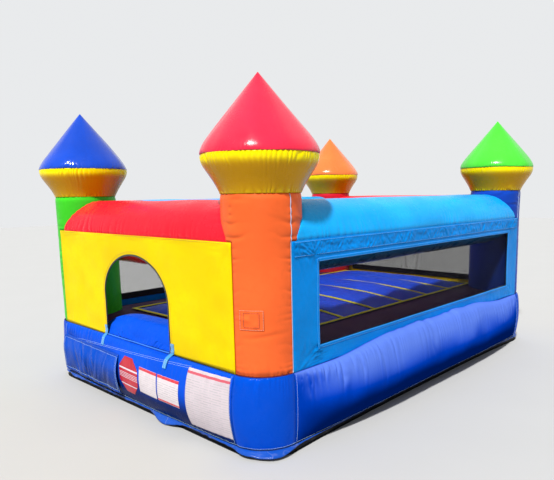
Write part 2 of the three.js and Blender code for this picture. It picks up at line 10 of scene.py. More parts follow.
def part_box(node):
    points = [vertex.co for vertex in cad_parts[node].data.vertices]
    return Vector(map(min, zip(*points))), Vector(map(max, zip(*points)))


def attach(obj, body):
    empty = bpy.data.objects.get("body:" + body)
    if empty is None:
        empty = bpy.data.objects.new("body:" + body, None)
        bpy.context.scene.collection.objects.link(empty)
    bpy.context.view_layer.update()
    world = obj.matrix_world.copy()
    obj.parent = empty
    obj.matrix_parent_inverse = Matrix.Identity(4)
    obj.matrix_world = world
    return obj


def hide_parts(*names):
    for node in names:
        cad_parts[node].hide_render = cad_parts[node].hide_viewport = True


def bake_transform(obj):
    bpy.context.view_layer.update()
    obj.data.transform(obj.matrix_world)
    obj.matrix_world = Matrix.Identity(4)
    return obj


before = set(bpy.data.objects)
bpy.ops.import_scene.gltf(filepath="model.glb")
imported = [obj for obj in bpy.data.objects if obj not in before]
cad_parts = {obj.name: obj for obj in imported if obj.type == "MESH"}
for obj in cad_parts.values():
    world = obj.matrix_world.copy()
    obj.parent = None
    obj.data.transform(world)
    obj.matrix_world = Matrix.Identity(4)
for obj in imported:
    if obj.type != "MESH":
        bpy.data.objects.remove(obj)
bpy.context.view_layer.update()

# ---- camera

CAMERA_PLACE = (3.663, -4.067, 1.600)
CAMERA_YAW, CAMERA_PITCH, CAMERA_ROLL = (math.radians(a) for a in (42.69, -8.59, -0.91))
CAMERA_LENS, CAMERA_SENSOR = 35.66, 36
CAMERA_SHIFT = (-0.0475, 0.068)


def make_camera():
    data = bpy.data.cameras.new("camera")
    data.lens, data.sensor_width = CAMERA_LENS, CAMERA_SENSOR
    data.shift_x, data.shift_y = CAMERA_SHIFT
    camera = bpy.data.objects.new("camera", data)
    bpy.context.scene.collection.objects.link(camera)
    turn = Matrix.Rotation(CAMERA_YAW, 4, "Z") @ Matrix.Rotation(math.pi / 2 + CAMERA_PITCH, 4, "X")
    turn = turn @ Matrix.Rotation(CAMERA_ROLL, 4, "Z")
    camera.matrix_world = Matrix.Translation(CAMERA_PLACE) @ turn
    bpy.context.scene.camera = camera


make_camera()

# ---- sizes, read from the frame


def middle(node, axis):
    low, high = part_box(node)
    return (low[axis] + high[axis]) / 2


column_low, column_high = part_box("column_front_right")
beam_low, beam_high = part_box("beam_front")
cone_low, cone_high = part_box("turret_cone_front_right")
COLUMN_X, COLUMN_Y = middle("column_front_right", 0), -middle("column_front_right", 1)
COLUMN_RADIUS = (column_high.x - column_low.x) / 2
COLUMN_FOOT, COLUMN_TOP = column_low.z, column_high.z
BEAM_Z, BEAM_RADIUS = middle("beam_front", 2), (beam_high.z - beam_low.z) / 2
EQUATOR_RADIUS = (cone_high.x - cone_low.x) / 2
EQUATOR_Z, APEX_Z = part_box("turret_bowl_front_right")[1].z, cone_high.z
BASE_BOTTOM, BASE_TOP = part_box("base_front")[0].z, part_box("base_front")[1].z
HEM = 0.040
WALL_FACE, WALL_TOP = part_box("wall_right")[1].x - COLUMN_X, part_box("wall_right")[1].z
SHEET_ROOM = 0.0045  # kept free inside the wall sheets
BED_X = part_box("jump_bed")[1].x
BED_FRONT, BED_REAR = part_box("jump_bed")[0].y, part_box("jump_bed")[1].y
BED_EDGE, BED_CROWN, BED_BULGE, BED_CHANNELS, BED_VALLEY = 0.575, 0.060, 0.040, 7, 0.035
DOOR_LEFT, DOOR_RIGHT, DOOR_SPRING, DOOR_TOP = -0.420, 0.460, 0.850, 1.180
WINDOW_BOTTOM, WINDOW_TOP, WINDOW_INSET, WINDOW_OVERLAP = 0.640, 1.182, 0.246, 0.025
FLAP_LEFT, FLAP_RIGHT, FLAP_BOTTOM, FLAP_TOP = -1.150, -0.155, 0.095, 0.410
CHAMBER_CLOTH, SHEET_CLOTH, TRIM_CLOTH = 0.004, 0.0016, 0.0014  # thicknesses

# ---- the four sides


def turned_to(points, turn):
    """Points drawn on the side that faces -Y, turned into place on another side."""
    across, along = [(1, 0), (0, 1), (-1, 0), (0, -1)][turn]
    x, y, z = points[..., 0], points[..., 1], points[..., 2]
    return np.stack([across * x - along * y, along * x + across * y, z], -1)


# Anticlockwise from the front. bulge is how far the base swells past the walls, narrowing to ends at the
# seams where narrows is 1. tuck draws the base's foot in and crest lifts its top, both mid side.
SIDES = [
    Side(name="front", along=COLUMN_X, out=COLUMN_Y, bulge=(0.020, 0.105), ends=(0.020, 0.042),
         narrows=(0, 1), tuck=0.0, crest=0.0, corner="front_right"),
    Side(name="right", along=COLUMN_Y, out=COLUMN_X, bulge=(0.140, 0.140), ends=(0.014, 0.027),
         narrows=(1, 1), tuck=0.035, crest=0.062, corner="rear_right"),
    Side(name="rear", along=COLUMN_X, out=COLUMN_Y, bulge=(0.110, 0.110), ends=(0.027, 0.027),
         narrows=(1, 1), tuck=0.035, crest=0.050, corner="rear_left"),
    Side(name="left", along=COLUMN_Y, out=COLUMN_X, bulge=(0.140, 0.140), ends=(0.027, 0.020),
         narrows=(1, 1), tuck=0.035, crest=0.062, corner="front_left"),
]
CORNER_ARC = math.pi / 2 * WALL_FACE
FRONT = SIDES[0]
for number, side in enumerate(SIDES):
    side.turn = number
    side.following = SIDES[(number + 1) % 4]
    side.start = sum(2 * s.along + CORNER_ARC for s in SIDES[:number])
    side.normal = turned_to(np.array([0.0, -1.0, 0.0]), number)
    side.seed = 300 + 60 * number
FULLEST = SIDES[1].start + 0.35  # where the base's top is gathered most

# ---- cloth shapes


def lerp(a, b, t):
    return a + (b - a) * t


def smooth(t):
    t = np.clip(t, 0, 1)
    return t * t * (3 - 2 * t)


def at(x, y, z):
    return np.stack(np.broadcast_arrays(x, y, z), -1)


def steps(low, high, spacing):
    return np.linspace(low, high, max(2, int(round((high - low) / spacing)) + 1))


def grid(left, right, bottom, top, spacing):
    return steps(left, right, spacing)[:, None], steps(bottom, top, spacing)[None, :]


def noise(seed, *coordinates):
    """Smooth noise from -1 to 1 over one, two or three coordinates, the same on every run."""
    size = 32
    lattice = np.random.RandomState(seed).uniform(-1, 1, (size,) * len(coordinates))
    coordinates = np.broadcast_arrays(*[np.asarray(c, float) for c in coordinates])
    cells = [np.floor(c).astype(int) for c in coordinates]
    parts = [smooth(c - cell) for c, cell in zip(coordinates, cells)]
    total = 0.0
    for corner in np.ndindex(*(2,) * len(coordinates)):
        weight = 1.0
        for bit, part in zip(corner, parts):
            weight = weight * (part if bit else 1 - part)
        total = total + weight * lattice[tuple((cell + bit) % size for cell, bit in zip(cells, corner))]
    return total


def gathers(along, depth, pitch, reach, height, seed):
    """Rounded folds with sharp valleys between them. They run away from a seam and die out with depth."""
    drift = 0.9 * noise(seed, along / pitch * 0.6) + 0.3 * noise(seed + 1, along / pitch * 0.5, depth / reach)
    fold = np.abs(np.sin(np.pi * (along / pitch + drift))) ** 0.7 - 0.65
    length = reach * np.clip(0.75 + 0.6 * noise(seed + 2, along / pitch), 0.2, 1.5)
    strength = np.clip(0.75 + 0.7 * noise(seed + 3, along / (5 * pitch)), 0.1, 1.4)
    return height * strength * fold * np.exp(-(np.abs(depth) / length) ** 1.3)


def creases(a, b, a_span, b_span, count, seed, length, width, height, lean=0.3):
    """Short folds at random places. a and b are distances over the cloth; the folds run roughly along a."""
    random = np.random.RandomState(seed)
    total = 0.0
    for _ in range(count):
        da = a - random.uniform(*a_span)
        db = b - random.uniform(*b_span)
        slope = random.uniform(-lean, lean)
        own_length = length * random.uniform(0.5, 1.4)
        own_width = width * random.uniform(0.7, 1.4)
        across = db - slope * da - 0.3 * own_width * np.sin(da / own_length * 2)
        valley = np.exp(-(across / own_width) ** 2) - 0.5 * np.exp(-((across / own_width - 1.6) / 1.2) ** 2)
        total = total - height * random.uniform(0.5, 1.2) * valley * np.exp(-(da / own_length) ** 2)
    return total


def rays(x, z, corner, facing, spread, reach, height, seed):
    """Folds that fan out from a corner of a sheet, about the direction facing."""
    dx, dz = x - corner[0], z - corner[1]
    distance = np.hypot(dx, dz)
    angle = (np.arctan2(dz, dx) - facing + np.pi) % (2 * np.pi) - np.pi
    fold = np.abs(np.sin(np.pi * (angle / spread * 5 + noise(seed, angle * 3, distance / reach))))
    fan = np.exp(-(angle / spread) ** 2) * np.exp(-distance / reach) * smooth(distance / (0.2 * reach))
    return height * (fold - 0.6) * fan


def on_side(side, x, out, z):
    """Points at a distance out from the house's middle, on one of its sides."""
    return turned_to(at(x, -out, z), side.turn)


def on_round(side, angle, radius, z):
    """Points round the axis of the column at a side's +X end."""
    x, y = side.along + radius * np.cos(angle), -side.out + radius * np.sin(angle)
    return turned_to(at(x, y, z), side.turn)


def base_share(z):
    return np.clip((z - HEM) / (BASE_TOP - HEM), 0, 1)


def swell(side, x, z):
    """How far the base stands out past the wall face, at x along a side."""
    t = np.clip(x / side.along, -1, 1)
    full = lerp(*side.bulge, np.sin(np.pi / 4 * (1 + t)))
    end = np.where(t < 0, *side.ends)
    narrows = np.where(t < 0, *side.narrows)
    share = base_share(z)
    roundness = np.sin(np.pi * share) ** lerp(0.7, 0.3, share)
    tuck = side.tuck * (1 - np.abs(t) ** 3)
    return lerp(full, end, (t * narrows) ** 4) * roundness - tuck * (1 - share) ** 6


def crest(side, x, z):
    """How far the base's top rises there above the seam at the foot of the wall."""
    along = 1 - smooth((np.abs(x / side.along) - 0.35) / 0.45)
    ripple = 1 + 0.07 * noise(35, (side.start + x) * 5) + 0.10 * noise(36, (side.start + x) * 14)
    return side.crest * ripple * along * smooth((base_share(z) - 0.5) / 0.5)


def base_folds(around, z):
    """The base's gathers and soft waves. around is the distance round the base from its front left corner."""
    fuller = 1 + 1.3 * np.exp(-((around - FULLEST) / 0.65) ** 2)
    folds = gathers(around, BASE_TOP - z, 0.060, 0.10, 0.016 * fuller, 11)
    folds = folds + gathers(around, BASE_TOP - z, 0.026, 0.070, 0.008 * fuller, 15)
    folds = folds + gathers(around, z - HEM, 0.080, 0.06, 0.010, 21)
    waves = 0.008 * noise(31, around * 2.1, z * 3.0) + 0.003 * noise(32, around * 6.0, z * 7.0)
    return (folds + waves) * np.sin(np.pi * base_share(z)) ** 0.45


def seam_pinch(distance):
    return -0.004 * np.exp(-(distance / 0.012) ** 2)


def under_flap(x, z):
    """1 well under the zip's cover, where the panel lies smooth, and 0 outside it."""
    inside_x = np.minimum(x - FLAP_LEFT, FLAP_RIGHT - x)
    inside_z = np.minimum(z - FLAP_BOTTOM, FLAP_TOP + 0.06 - z)
    return smooth(np.minimum(inside_x, inside_z) / 0.08)


def on_base(side, x, z, lift=0.0):
    """Points on a side's base panel, lift clear of it."""
    folds = base_folds(side.start + x + side.along, z)
    if side is FRONT:
        folds = folds * (1 - under_flap(x, z))
    ends = seam_pinch(side.along - np.abs(x))
    out = side.out + WALL_FACE + swell(side, x, z) + folds + ends + lift
    return on_side(side, x, out, z + crest(side, x, z))


def on_corner(side, share, z, lift=0.0):
    """Points on the rounded base corner at a side's +X end. share runs from 0 to 1 round it."""
    reach = lerp(swell(side, side.along, z), swell(side.following, -side.following.along, z), smooth(share))
    around = side.start + 2 * side.along + share * CORNER_ARC
    ends = seam_pinch(np.minimum(share, 1 - share) * CORNER_ARC)
    return on_round(side, np.pi / 2 * (share - 1), WALL_FACE + reach + base_folds(around, z) + ends + lift, z)


# ---- meshes


def arc_length(points, axis):
    lengths = np.linalg.norm(np.diff(points, axis=axis), axis=-1)
    start = np.zeros_like(np.take(lengths, [0], axis))
    return np.cumsum(np.concatenate([start, lengths], axis), axis)


def make_piece(name, vertices, faces, finish, body="house", replaces=()):
    """A mesh with the material of one finish, that rides on a body."""
    mesh = bpy.data.meshes.new(name)
    mesh.from_pydata(vertices, [], faces)
    mesh.validate()
    mesh.shade_smooth()
    mesh.materials.append(finish[0])
    piece = bpy.data.objects.new(name, mesh)
    bpy.context.scene.collection.objects.link(piece)
    if body:
        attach(piece, body)
    if replaces:
        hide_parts(*replaces)
    return piece


def mark(piece, across, along, seam):
    """Give each point its distances over the cloth and from the nearest sewn edge, for the material."""
    across, along, seam = np.broadcast_arrays(across, along, seam)
    marks = (("cloth", "FLOAT_VECTOR", "vector", at(across, along, 0.0)), ("seam", "FLOAT", "value", seam))
    for name, kind, key, values in marks:
        attribute = piece.data.attributes.new(name, kind, "POINT")
        attribute.data.foreach_set(key, np.ascontiguousarray(values, np.float32).ravel())


def grid_faces(columns, rows, round_u=False, round_v=False):
    index = np.arange(columns * rows).reshape(columns, rows)
    if round_u:
        index = np.concatenate([index, index[:1]], 0)
    if round_v:
        index = np.concatenate([index, index[:, :1]], 1)
    return np.stack([index[:-1, :-1], index[1:, :-1], index[1:, 1:], index[:-1, 1:]], -1).reshape(-1, 4)


def cloth_piece(name, points, finish, thickness, round_u=False, seams="uv", flat=None, **options):
    """One panel of cloth from a grid of points (u, v, 3), whose outer side is along du x dv.
    flat gives the distances over the cloth where they aren't the grid's own."""
    columns, rows = points.shape[:2]
    faces = grid_faces(columns, rows, round_u).tolist()
    piece = make_piece(name, points.reshape(-1, 3), faces, finish, **options)
    u, v = arc_length(points, 0), arc_length(points, 1)
    u = np.broadcast_to(u[:, rows // 2:rows // 2 + 1], u.shape)
    seam = np.full(u.shape, 9.0)
    if "u" in seams and not round_u:
        seam = np.minimum(seam, np.minimum(u, u[-1:] - u))
    if "v" in seams:
        seam = np.minimum(seam, np.minimum(v, v[:, -1:] - v))
    mark(piece, *(flat or (u, v)), seam)
    solid = piece.modifiers.new("thickness", "SOLIDIFY")
    solid.thickness, solid.offset = thickness, -1
    return piece


def frames_along(path, normals, closed=False):
    """Unit directions along a path, across it and out of its cloth."""
    ahead = np.roll(path, -1, 0) - np.roll(path, 1, 0) if closed else np.gradient(path, axis=0)
    ahead = ahead / np.linalg.norm(ahead, axis=1, keepdims=True)
    across = np.cross(ahead, np.broadcast_to(normals, path.shape))
    across = across / np.linalg.norm(across, axis=1, keepdims=True)
    return ahead, across, np.cross(across, ahead)


def sweep(name, path, normals, profile, finish, closed=False, **options):
    """A closed profile (across, out) carried along a path over the cloth: piping, binding and straps."""
    _, across, out = frames_along(path, normals, closed)
    points = path[:, None] + profile[:, 0, None] * across[:, None] + profile[:, 1, None] * out[:, None]
    columns, rows = points.shape[:2]
    faces = grid_faces(columns, rows, closed, True)[:, ::-1].tolist()
    if not closed:
        faces += [list(range(rows)), list(range(columns * rows - 1, columns * rows - rows - 1, -1))]
    piece = make_piece(name, points.reshape(-1, 3), faces, finish, **options)
    mark(piece, arc_length(points, 0)[:, :1], profile[:, 0], np.full((columns, rows), 0.05))
    return piece


def ellipse(half_across, half_out, count=8, lift=0.0):
    angle = 2 * np.pi * np.arange(count) / count
    return np.stack([half_across * np.cos(angle), lift + half_out * np.sin(angle)], -1)


def rounded_band(half, thick):
    """A flat strap's cross-section with round edges."""
    angle = np.linspace(-np.pi / 2, np.pi / 2, 6)
    right_end = np.stack([half - thick / 2 + thick / 2 * np.cos(angle), thick / 2 * np.sin(angle)], -1)
    return np.concatenate([right_end, -right_end]) + np.array([0, thick / 2])


STITCH_PITCH, STITCH_LENGTH = 0.0095, 0.0072
STITCH_RINGS = ((-0.5, 0.0), (-0.3, 1.0), (0.3, 1.0), (0.5, 0.0))  # place along it, share of its radius
STITCH_ALONG, STITCH_SHARE, STITCH_TURN = np.array([
    (along, share, np.pi / 2 * quarter)
    for along, share in STITCH_RINGS for quarter in range(4)]).T[..., None]


def stitching(name, lines, finish, radius, **options):
    """Rows of thread along paths over the cloth, as one piece. Each line is (points, normals)."""
    rows = []
    for path, normals in lines:
        lengths = np.concatenate([[0], np.cumsum(np.linalg.norm(np.diff(path, axis=0), axis=1))])
        places = np.arange(STITCH_PITCH / 2, lengths[-1], STITCH_PITCH)
        centres = np.stack([np.interp(places, lengths, path[:, axis]) for axis in range(3)], -1)
        if np.ndim(normals) == 2:
            normals = normals[np.linspace(0, len(normals) - 1, len(centres)).round().astype(int)]
        ahead, across, out = (direction[:, None] for direction in frames_along(centres, normals))
        offset = STITCH_SHARE * radius * (np.cos(STITCH_TURN) * across + np.sin(STITCH_TURN) * out)
        rows.append(centres[:, None] + STITCH_ALONG * STITCH_LENGTH * ahead + offset + 0.3 * radius * out)
    points = np.concatenate(rows).reshape(-1, 3)
    quads = np.roll(grid_faces(4, 4, round_v=True), -1, 1)
    faces = 16 * np.arange(len(points) // 16)[:, None, None] + quads
    return make_piece(name, points, faces.reshape(-1, 4).tolist(), finish, **options)


# ---- materials


class Net:
    """A material's node tree, built node by node."""

    def __init__(self, name, code="ffffff"):
        self.material = bpy.data.materials.new(name)
        self.material.use_nodes = True
        self.tree = self.material.node_tree
        self.tree.nodes.clear()
        self.color = linear(code)
        self.place = self.add("TexCoord").outputs["Object"]

    def add(self, kind, inputs=None, **settings):
        node = self.tree.nodes.new("ShaderNode" + kind)
        for key, value in settings.items():
            setattr(node, key, value)
        for key, value in (inputs or {}).items():
            if isinstance(value, bpy.types.NodeSocket):
                self.tree.links.new(value, node.inputs[key])
            else:
                node.inputs[key].default_value = value
        return node

    def mark(self, name, output="Vector"):
        return self.add("Attribute", attribute_name=name).outputs[output]

    def height(self, kind, vector):
        return self.add("SeparateXYZ", {0: vector}).outputs[kind]

    def math(self, operation, *values):
        return self.add("Math", dict(enumerate(values)), operation=operation).outputs[0]

    def times(self, a, b):
        return self.math("MULTIPLY", a, b)

    def between(self, value, low, high):
        return self.times(self.math("GREATER_THAN", value, low), self.math("LESS_THAN", value, high))

    def mix(self, factor, a, b):
        return self.add("Mix", {0: factor, 6: a, 7: b}, data_type="RGBA").outputs[2]

    def ramp(self, value, low, high, to_low=0.0, to_high=1.0):
        inputs = {0: value, 1: low, 2: high, 3: to_low, 4: to_high}
        return self.add("MapRange", inputs, interpolation_type="SMOOTHSTEP").outputs[0]

    def noise(self, vector, scale, detail=2.0, roughness=0.5):
        inputs = {"Vector": vector, "Scale": scale, "Detail": detail, "Roughness": roughness}
        return self.add("TexNoise", inputs).outputs[0]

    def wave(self, vector, scale, direction, distortion=0.0):
        inputs = {"Vector": vector, "Scale": scale, "Distortion": distortion}
        return self.add("TexWave", inputs, bands_direction=direction).outputs["Fac"]

    def bump(self, height, distance, strength=1.0, normal=None):
        inputs = {"Height": height, "Distance": distance, "Strength": strength}
        if normal is not None:
            inputs["Normal"] = normal
        return self.add("Bump", inputs).outputs[0]

    def principled(self, inputs):
        return self.add("BsdfPrincipled", inputs).outputs[0]

    def finish(self, shader):
        self.add("OutputMaterial", {"Surface": shader})
        return self.material


def linear(code):
    """A linear colour from a hex code."""
    values = [int(code[i:i + 2], 16) / 255 for i in (0, 2, 4)]
    return tuple(v / 12.92 if v <= 0.04045 else ((v + 0.055) / 1.055) ** 2.4 for v in values)


def scaled(color, factor):
    return (*(min(1.0, c * factor) for c in color), 1.0)


def toward(color, other, share):
    return (*(lerp(a, b, share) for a, b in zip(color, other)), 1.0)


SKY_TINT = (0.26, 0.42, 0.95)


def pvc(name, slot, code, roughness=0.34, crinkle=0.5, specular=0.12, dust=0.012, low=0.6, under=1.0, sky=0.0,
        coat=0.03, crease_highlight=0.0, shade=None, turn=(-0.35, 0.20)):
    """PVC-coated fabric: a fine scrim under a glossy skin, small crinkles, uneven gloss and a little dust,
    with painted shade and painted light. low darkens the cloth that faces down, as painted shade, under
    darkens what faces the ground itself, as painted shade, sky paints a pale reflection of the sky on what
    faces up and crease_highlight draws pale painted highlights along crease lines. shade is the colour of the
    painted shade on what faces down, where it isn't the same hue, and turn is the normal's Z between which it
    changes. Cloth near a sewn edge is darkened too, as painted shade in the seam."""
    net = Net(name, code)
    color, place = net.color, net.place
    cloth, seam = net.mark("cloth"), net.mark("seam", "Fac")
    broad = net.noise(place, 2.3, 3.0)
    fine = net.noise(place, 34.0, 3.0)
    tone = net.mix(net.ramp(broad, 0.35, 0.68), scaled(color, 0.90), scaled(color, 1.07))
    tone = net.mix(net.times(net.ramp(fine, 0.45, 0.75), 0.35), tone, scaled(color, 0.84))
    patches = net.times(net.ramp(net.noise(place, 7.0, 6.0, 0.65), 0.52, 0.78), dust)
    tone = net.mix(patches, tone, toward(color, (0.75, 0.75, 0.75), 0.5))
    # painted shade: cloth that faces down is darkened, to shade's colour where one is given, and what faces
    # the ground darker still where under is below 1
    up = net.height("Z", net.add("NewGeometry").outputs["Normal"])
    facing_down = scaled(linear(shade), 1.0) if shade else scaled(color, low)
    tone = net.mix(net.ramp(up, *turn), facing_down, tone)
    if under < 1:
        tone = net.mix(net.ramp(up, -0.95, -0.45), scaled(color, low * under), tone)
    # painted reflection of the sky: cloth that faces up is paled toward a blue-white
    if sky:
        tone = net.mix(net.ramp(up, 0.02, 0.30, 0.0, sky), tone, toward(color, SKY_TINT, 0.55))
    # painted highlights: pale lines along creases
    if crease_highlight:
        ridge = net.math("ABSOLUTE", net.math("SUBTRACT", net.noise(place, 4.5, 2.0, 0.6), 0.5))
        line = net.times(net.ramp(ridge, 0.0, 0.012, 1.0, 0.0), net.ramp(broad, 0.35, 0.6, 0.2 * crease_highlight, crease_highlight))
        tone = net.mix(line, tone, toward(color, (0.9, 0.9, 0.9), 0.45))
    # painted shade: the cloth is darker within 14 mm of a sewn edge, as the shade in the seam
    tone = net.mix(net.times(net.ramp(seam, 0.0, 0.014, 1.0, 0.0), 0.45), tone, scaled(color, 0.62))
    scrim = net.math("MAXIMUM", net.wave(cloth, 180.0, "X"), net.wave(cloth, 180.0, "Y"))
    crumple = net.times(net.noise(place, 21.0, 4.0, 0.55), net.ramp(seam, 0.0, 0.12, 1.0, 0.35))
    normal = net.bump(scrim, 0.00018, 0.35, net.bump(crumple, 0.006 * crinkle, 0.6))
    gloss = net.ramp(net.noise(place, 5.5, 5.0, 0.6), 0.3, 0.75, roughness - 0.06, roughness + 0.12)
    return net.finish(net.principled({
        "Base Color": tone, "Roughness": gloss, "Normal": normal,
        "Specular IOR Level": specular, "Coat Weight": coat, "Coat Roughness": 0.10,
    })), slot


def netting(name, slot, code):
    """Fine black netting: threads every 4 mm each way, with open holes between."""
    net = Net(name, code)
    cloth = net.mark("cloth")
    threads = net.math("MAXIMUM", net.wave(cloth, 78.0, "X"), net.wave(cloth, 78.0, "Y"))
    thread = net.ramp(threads, 0.78, 0.94, 0.06, 0.74)
    solid = net.principled({
        "Base Color": net.mix(net.noise(net.place, 6.0, 3.0), scaled(net.color, 0.7), scaled(net.color, 1.6)),
        "Roughness": 0.7, "Specular IOR Level": 0.08, "Normal": net.bump(thread, 0.0004, 0.5),
    })
    hole = net.add("BsdfTransparent").outputs[0]
    return net.finish(net.add("MixShader", {0: thread, 1: hole, 2: solid}).outputs[0]), slot


def webbing(name, slot, code, mapped=True):
    """Woven strap: ribs across, a herringbone of threads and fuzzy variation."""
    net = Net(name, code)
    cloth = net.mark("cloth") if mapped else net.place
    cross = net.times(net.wave(cloth, 136.4, "Y"), 0.6)
    weave = net.math("ADD", net.wave(cloth, 62.0, "X", 0.4), cross)
    tone = net.mix(net.ramp(weave, 0.2, 1.3), scaled(net.color, 0.62), scaled(net.color, 1.15))
    tone = net.mix(net.times(net.noise(net.place, 60.0, 3.0), 0.35), tone, scaled(net.color, 0.8))
    return net.finish(net.principled({
        "Base Color": tone, "Roughness": 0.62, "Sheen Weight": 0.25, "Specular IOR Level": 0.3,
        "Normal": net.bump(weave, 0.0007, 0.8),
    })), slot


def thread(name, slot, code):
    net = Net(name, code)
    twist = net.wave(net.place, 260.0, "DIAGONAL")
    return net.finish(net.principled({
        "Base Color": net.mix(twist, scaled(net.color, 0.75), scaled(net.color, 1.1)),
        "Roughness": 0.5, "Sheen Weight": 0.3, "Normal": net.bump(twist, 0.0002, 0.7),
    })), slot


def steel(name):
    net = Net(name)
    wear = net.noise(net.place, 90.0, 5.0, 0.6)
    return net.finish(net.principled({
        "Base Color": net.mix(net.ramp(wear, 0.35, 0.7), (0.52, 0.53, 0.55, 1), (0.78, 0.79, 0.80, 1)),
        "Metallic": 1.0, "Roughness": net.ramp(wear, 0.3, 0.7, 0.18, 0.42),
        "Normal": net.bump(wear, 0.0002, 0.4),
    }))


def printed(name, slot, paper, band, bands, rules=(0, 0), lines=0.55):
    """A printed vinyl patch, measured from its lower left corner: bands are (low, high) heights in band
    colour, and rules is the heights between which plain grey rules fill it."""
    net = Net(name, paper)
    cloth = net.mark("cloth")
    height = net.height("Y", cloth)
    grime = net.noise(net.place, 14.0, 5.0, 0.6)
    tone = net.mix(net.ramp(grime, 0.35, 0.75), scaled(net.color, 1.0), scaled(net.color, 0.86))
    brick = net.add("TexBrick", {
        "Vector": cloth, "Scale": 1.0, "Mortar Size": 0.0055, "Brick Width": 0.085, "Row Height": 0.016,
        "Color1": (0.35, 0.36, 0.38, 1), "Color2": (0.50, 0.50, 0.52, 1), "Mortar": (*net.color, 1),
        "Mortar Smooth": 0.1,
    }, offset=0.35).outputs["Color"]
    tone = net.mix(net.times(net.between(height, *rules), lines), tone, brick)
    for low_high in bands:
        tone = net.mix(net.between(height, *low_high), tone, scaled(linear(band), 1.0))
    return net.finish(net.principled({
        "Base Color": tone, "Roughness": net.ramp(grime, 0.3, 0.7, 0.28, 0.45), "Specular IOR Level": 0.4,
        "Normal": net.bump(net.noise(net.place, 30.0, 3.0), 0.002, 0.5),
    })), slot


MATT = dict(specular=0.05, coat=0.0)
GLOSSY = dict(crinkle=0.25, specular=0.35, coat=0.2)
# The base's blues darken steeply where they face down, as painted shade from the ground, each part by its own
# amount.
BLUE = pvc("base_blue", "pvc_blue", "0e52da", 0.28, specular=0.02, low=0.14, coat=0.0)
# the tops of the base's sides get a strong painted reflection of the sky
SIDE_BLUE = pvc("side_blue", "pvc_blue", "0044cc", 0.30, specular=0.0, low=0.24, sky=0.72, coat=0.0)
CORNER_BLUE = pvc("corner_blue", "pvc_blue", "004ac8", 0.22, specular=0.04, low=0.95, coat=0.05)
# the welt's pale crease lines are painted highlights
WELT_BLUE = pvc("welt_blue", "pvc_blue", "1450b8", 0.25, 2.0, specular=0.25, low=0.3, coat=0.1, crease_highlight=0.4)
FLAP_BLUE = pvc("flap_blue", "pvc_blue", "004cc4", 0.24, 1.0, specular=0.06, low=0.25, coat=0.0)
SILL_BLUE = pvc("sill_blue", "pvc_blue", "3c7ce4", 0.4)
# painted shade: the rim is blue cloth, coloured dark maroon for the shade it lies in between the walls and
# the bed
RIM_PAINTED_SHADE = pvc("rim_painted_shade", "pvc_blue", "5a3260", 0.5, 1.2, **MATT)
BED_BLUE = pvc("bed_blue", "pvc_bed_blue", "2858f4", 0.42, 0.8)
STRIP_YELLOW = pvc("strip_yellow", "pvc_yellow", "fff000", 0.45, 0.4, low=0.9)
# painted shade: the bowls' undersides turn a deeper orange-yellow
TURRET_YELLOW = pvc("turret_yellow", "pvc_yellow", "ffe400", 0.22, specular=0.14, shade="c49000",
                    turn=(-0.52, -0.12))
WALL_YELLOW = pvc("wall_yellow", "pvc_bright_yellow", "fbda00", 0.42, 0.8, **MATT)
SHEET_BLUE = pvc("sheet_blue", "pvc_light_blue", "008eec", 0.34, 1.8, specular=0.06, coat=0.0)
# painted shade: the beams' undersides, which face the ground, are darkened further
BEAM_RED = pvc("beam_red", "pvc_red", "f01c30", 0.26, specular=0.1, low=0.75, under=0.45)
BEAM_BLUE = pvc("beam_blue", "pvc_light_blue", "14acfc", 0.28, specular=0.08, low=0.8, under=0.2)
BLACK_VINYL = pvc("ground_vinyl", "pvc_black", "16181e", 0.55, dust=0.25)
PALE_PIPING = pvc("pale_piping", "webbing", "b4c8e8", 0.4)
SLEEVE_BLUE = pvc("sleeve_blue", "sleeve_fabric", "0c3ca8", 0.5, 1.4)
BINDING_BLACK = webbing("binding_black", "webbing", "101218")
ZIP_BLACK = BINDING_BLACK[0], "zip"
WEBBING_BLUE = webbing("webbing_blue", "webbing", "3a9ee0")
STRAP_BLUE = webbing("strap_blue", "webbing", "2f8fd8", mapped=False)
NETTING = netting("window_netting", "netting", "06070a")
PALE_THREAD = thread("pale_thread", "webbing", "a8ccf0")
SOFT_THREAD = thread("soft_thread", "webbing", "58acf0")
ORANGE_THREAD = thread("orange_thread", "pvc_orange", "f4a488")
RUST_THREAD = thread("rust_thread", "pvc_orange", "a03414")
YELLOW_THREAD = thread("yellow_thread", "pvc_yellow", "d8b400")
YELLOW_SEAM = YELLOW_THREAD[0], "webbing"
TEETH = thread("zip_teeth", "zip", "2a2c30")
STEEL = steel("zinc_steel")
OCTAGON_PRINT = printed("octagon_print", "label_red", "c01830", "dcd4e0", [
    (0.180, 0.193), (0.152, 0.156), (0.140, 0.144), (0.128, 0.132), (0.116, 0.120), (0.060, 0.068)])
TWIN_PRINTS = {
    "left": printed("twin_print", "label_white", "dcd2d8", "d03848", [(0.168, 0.188)], (0.012, 0.150), 0.30),
    "right": printed("twin_print_2", "label_white", "dcd2d8", "d03848", [(0.168, 0.188), (0.004, 0.016)],
                     (0.030, 0.150)),
}
LARGE_PRINT = printed("large_print", "label_white", "ccc0c8", "c85868", [(0.366, 0.382)], (0.03, 0.345), 0.60)

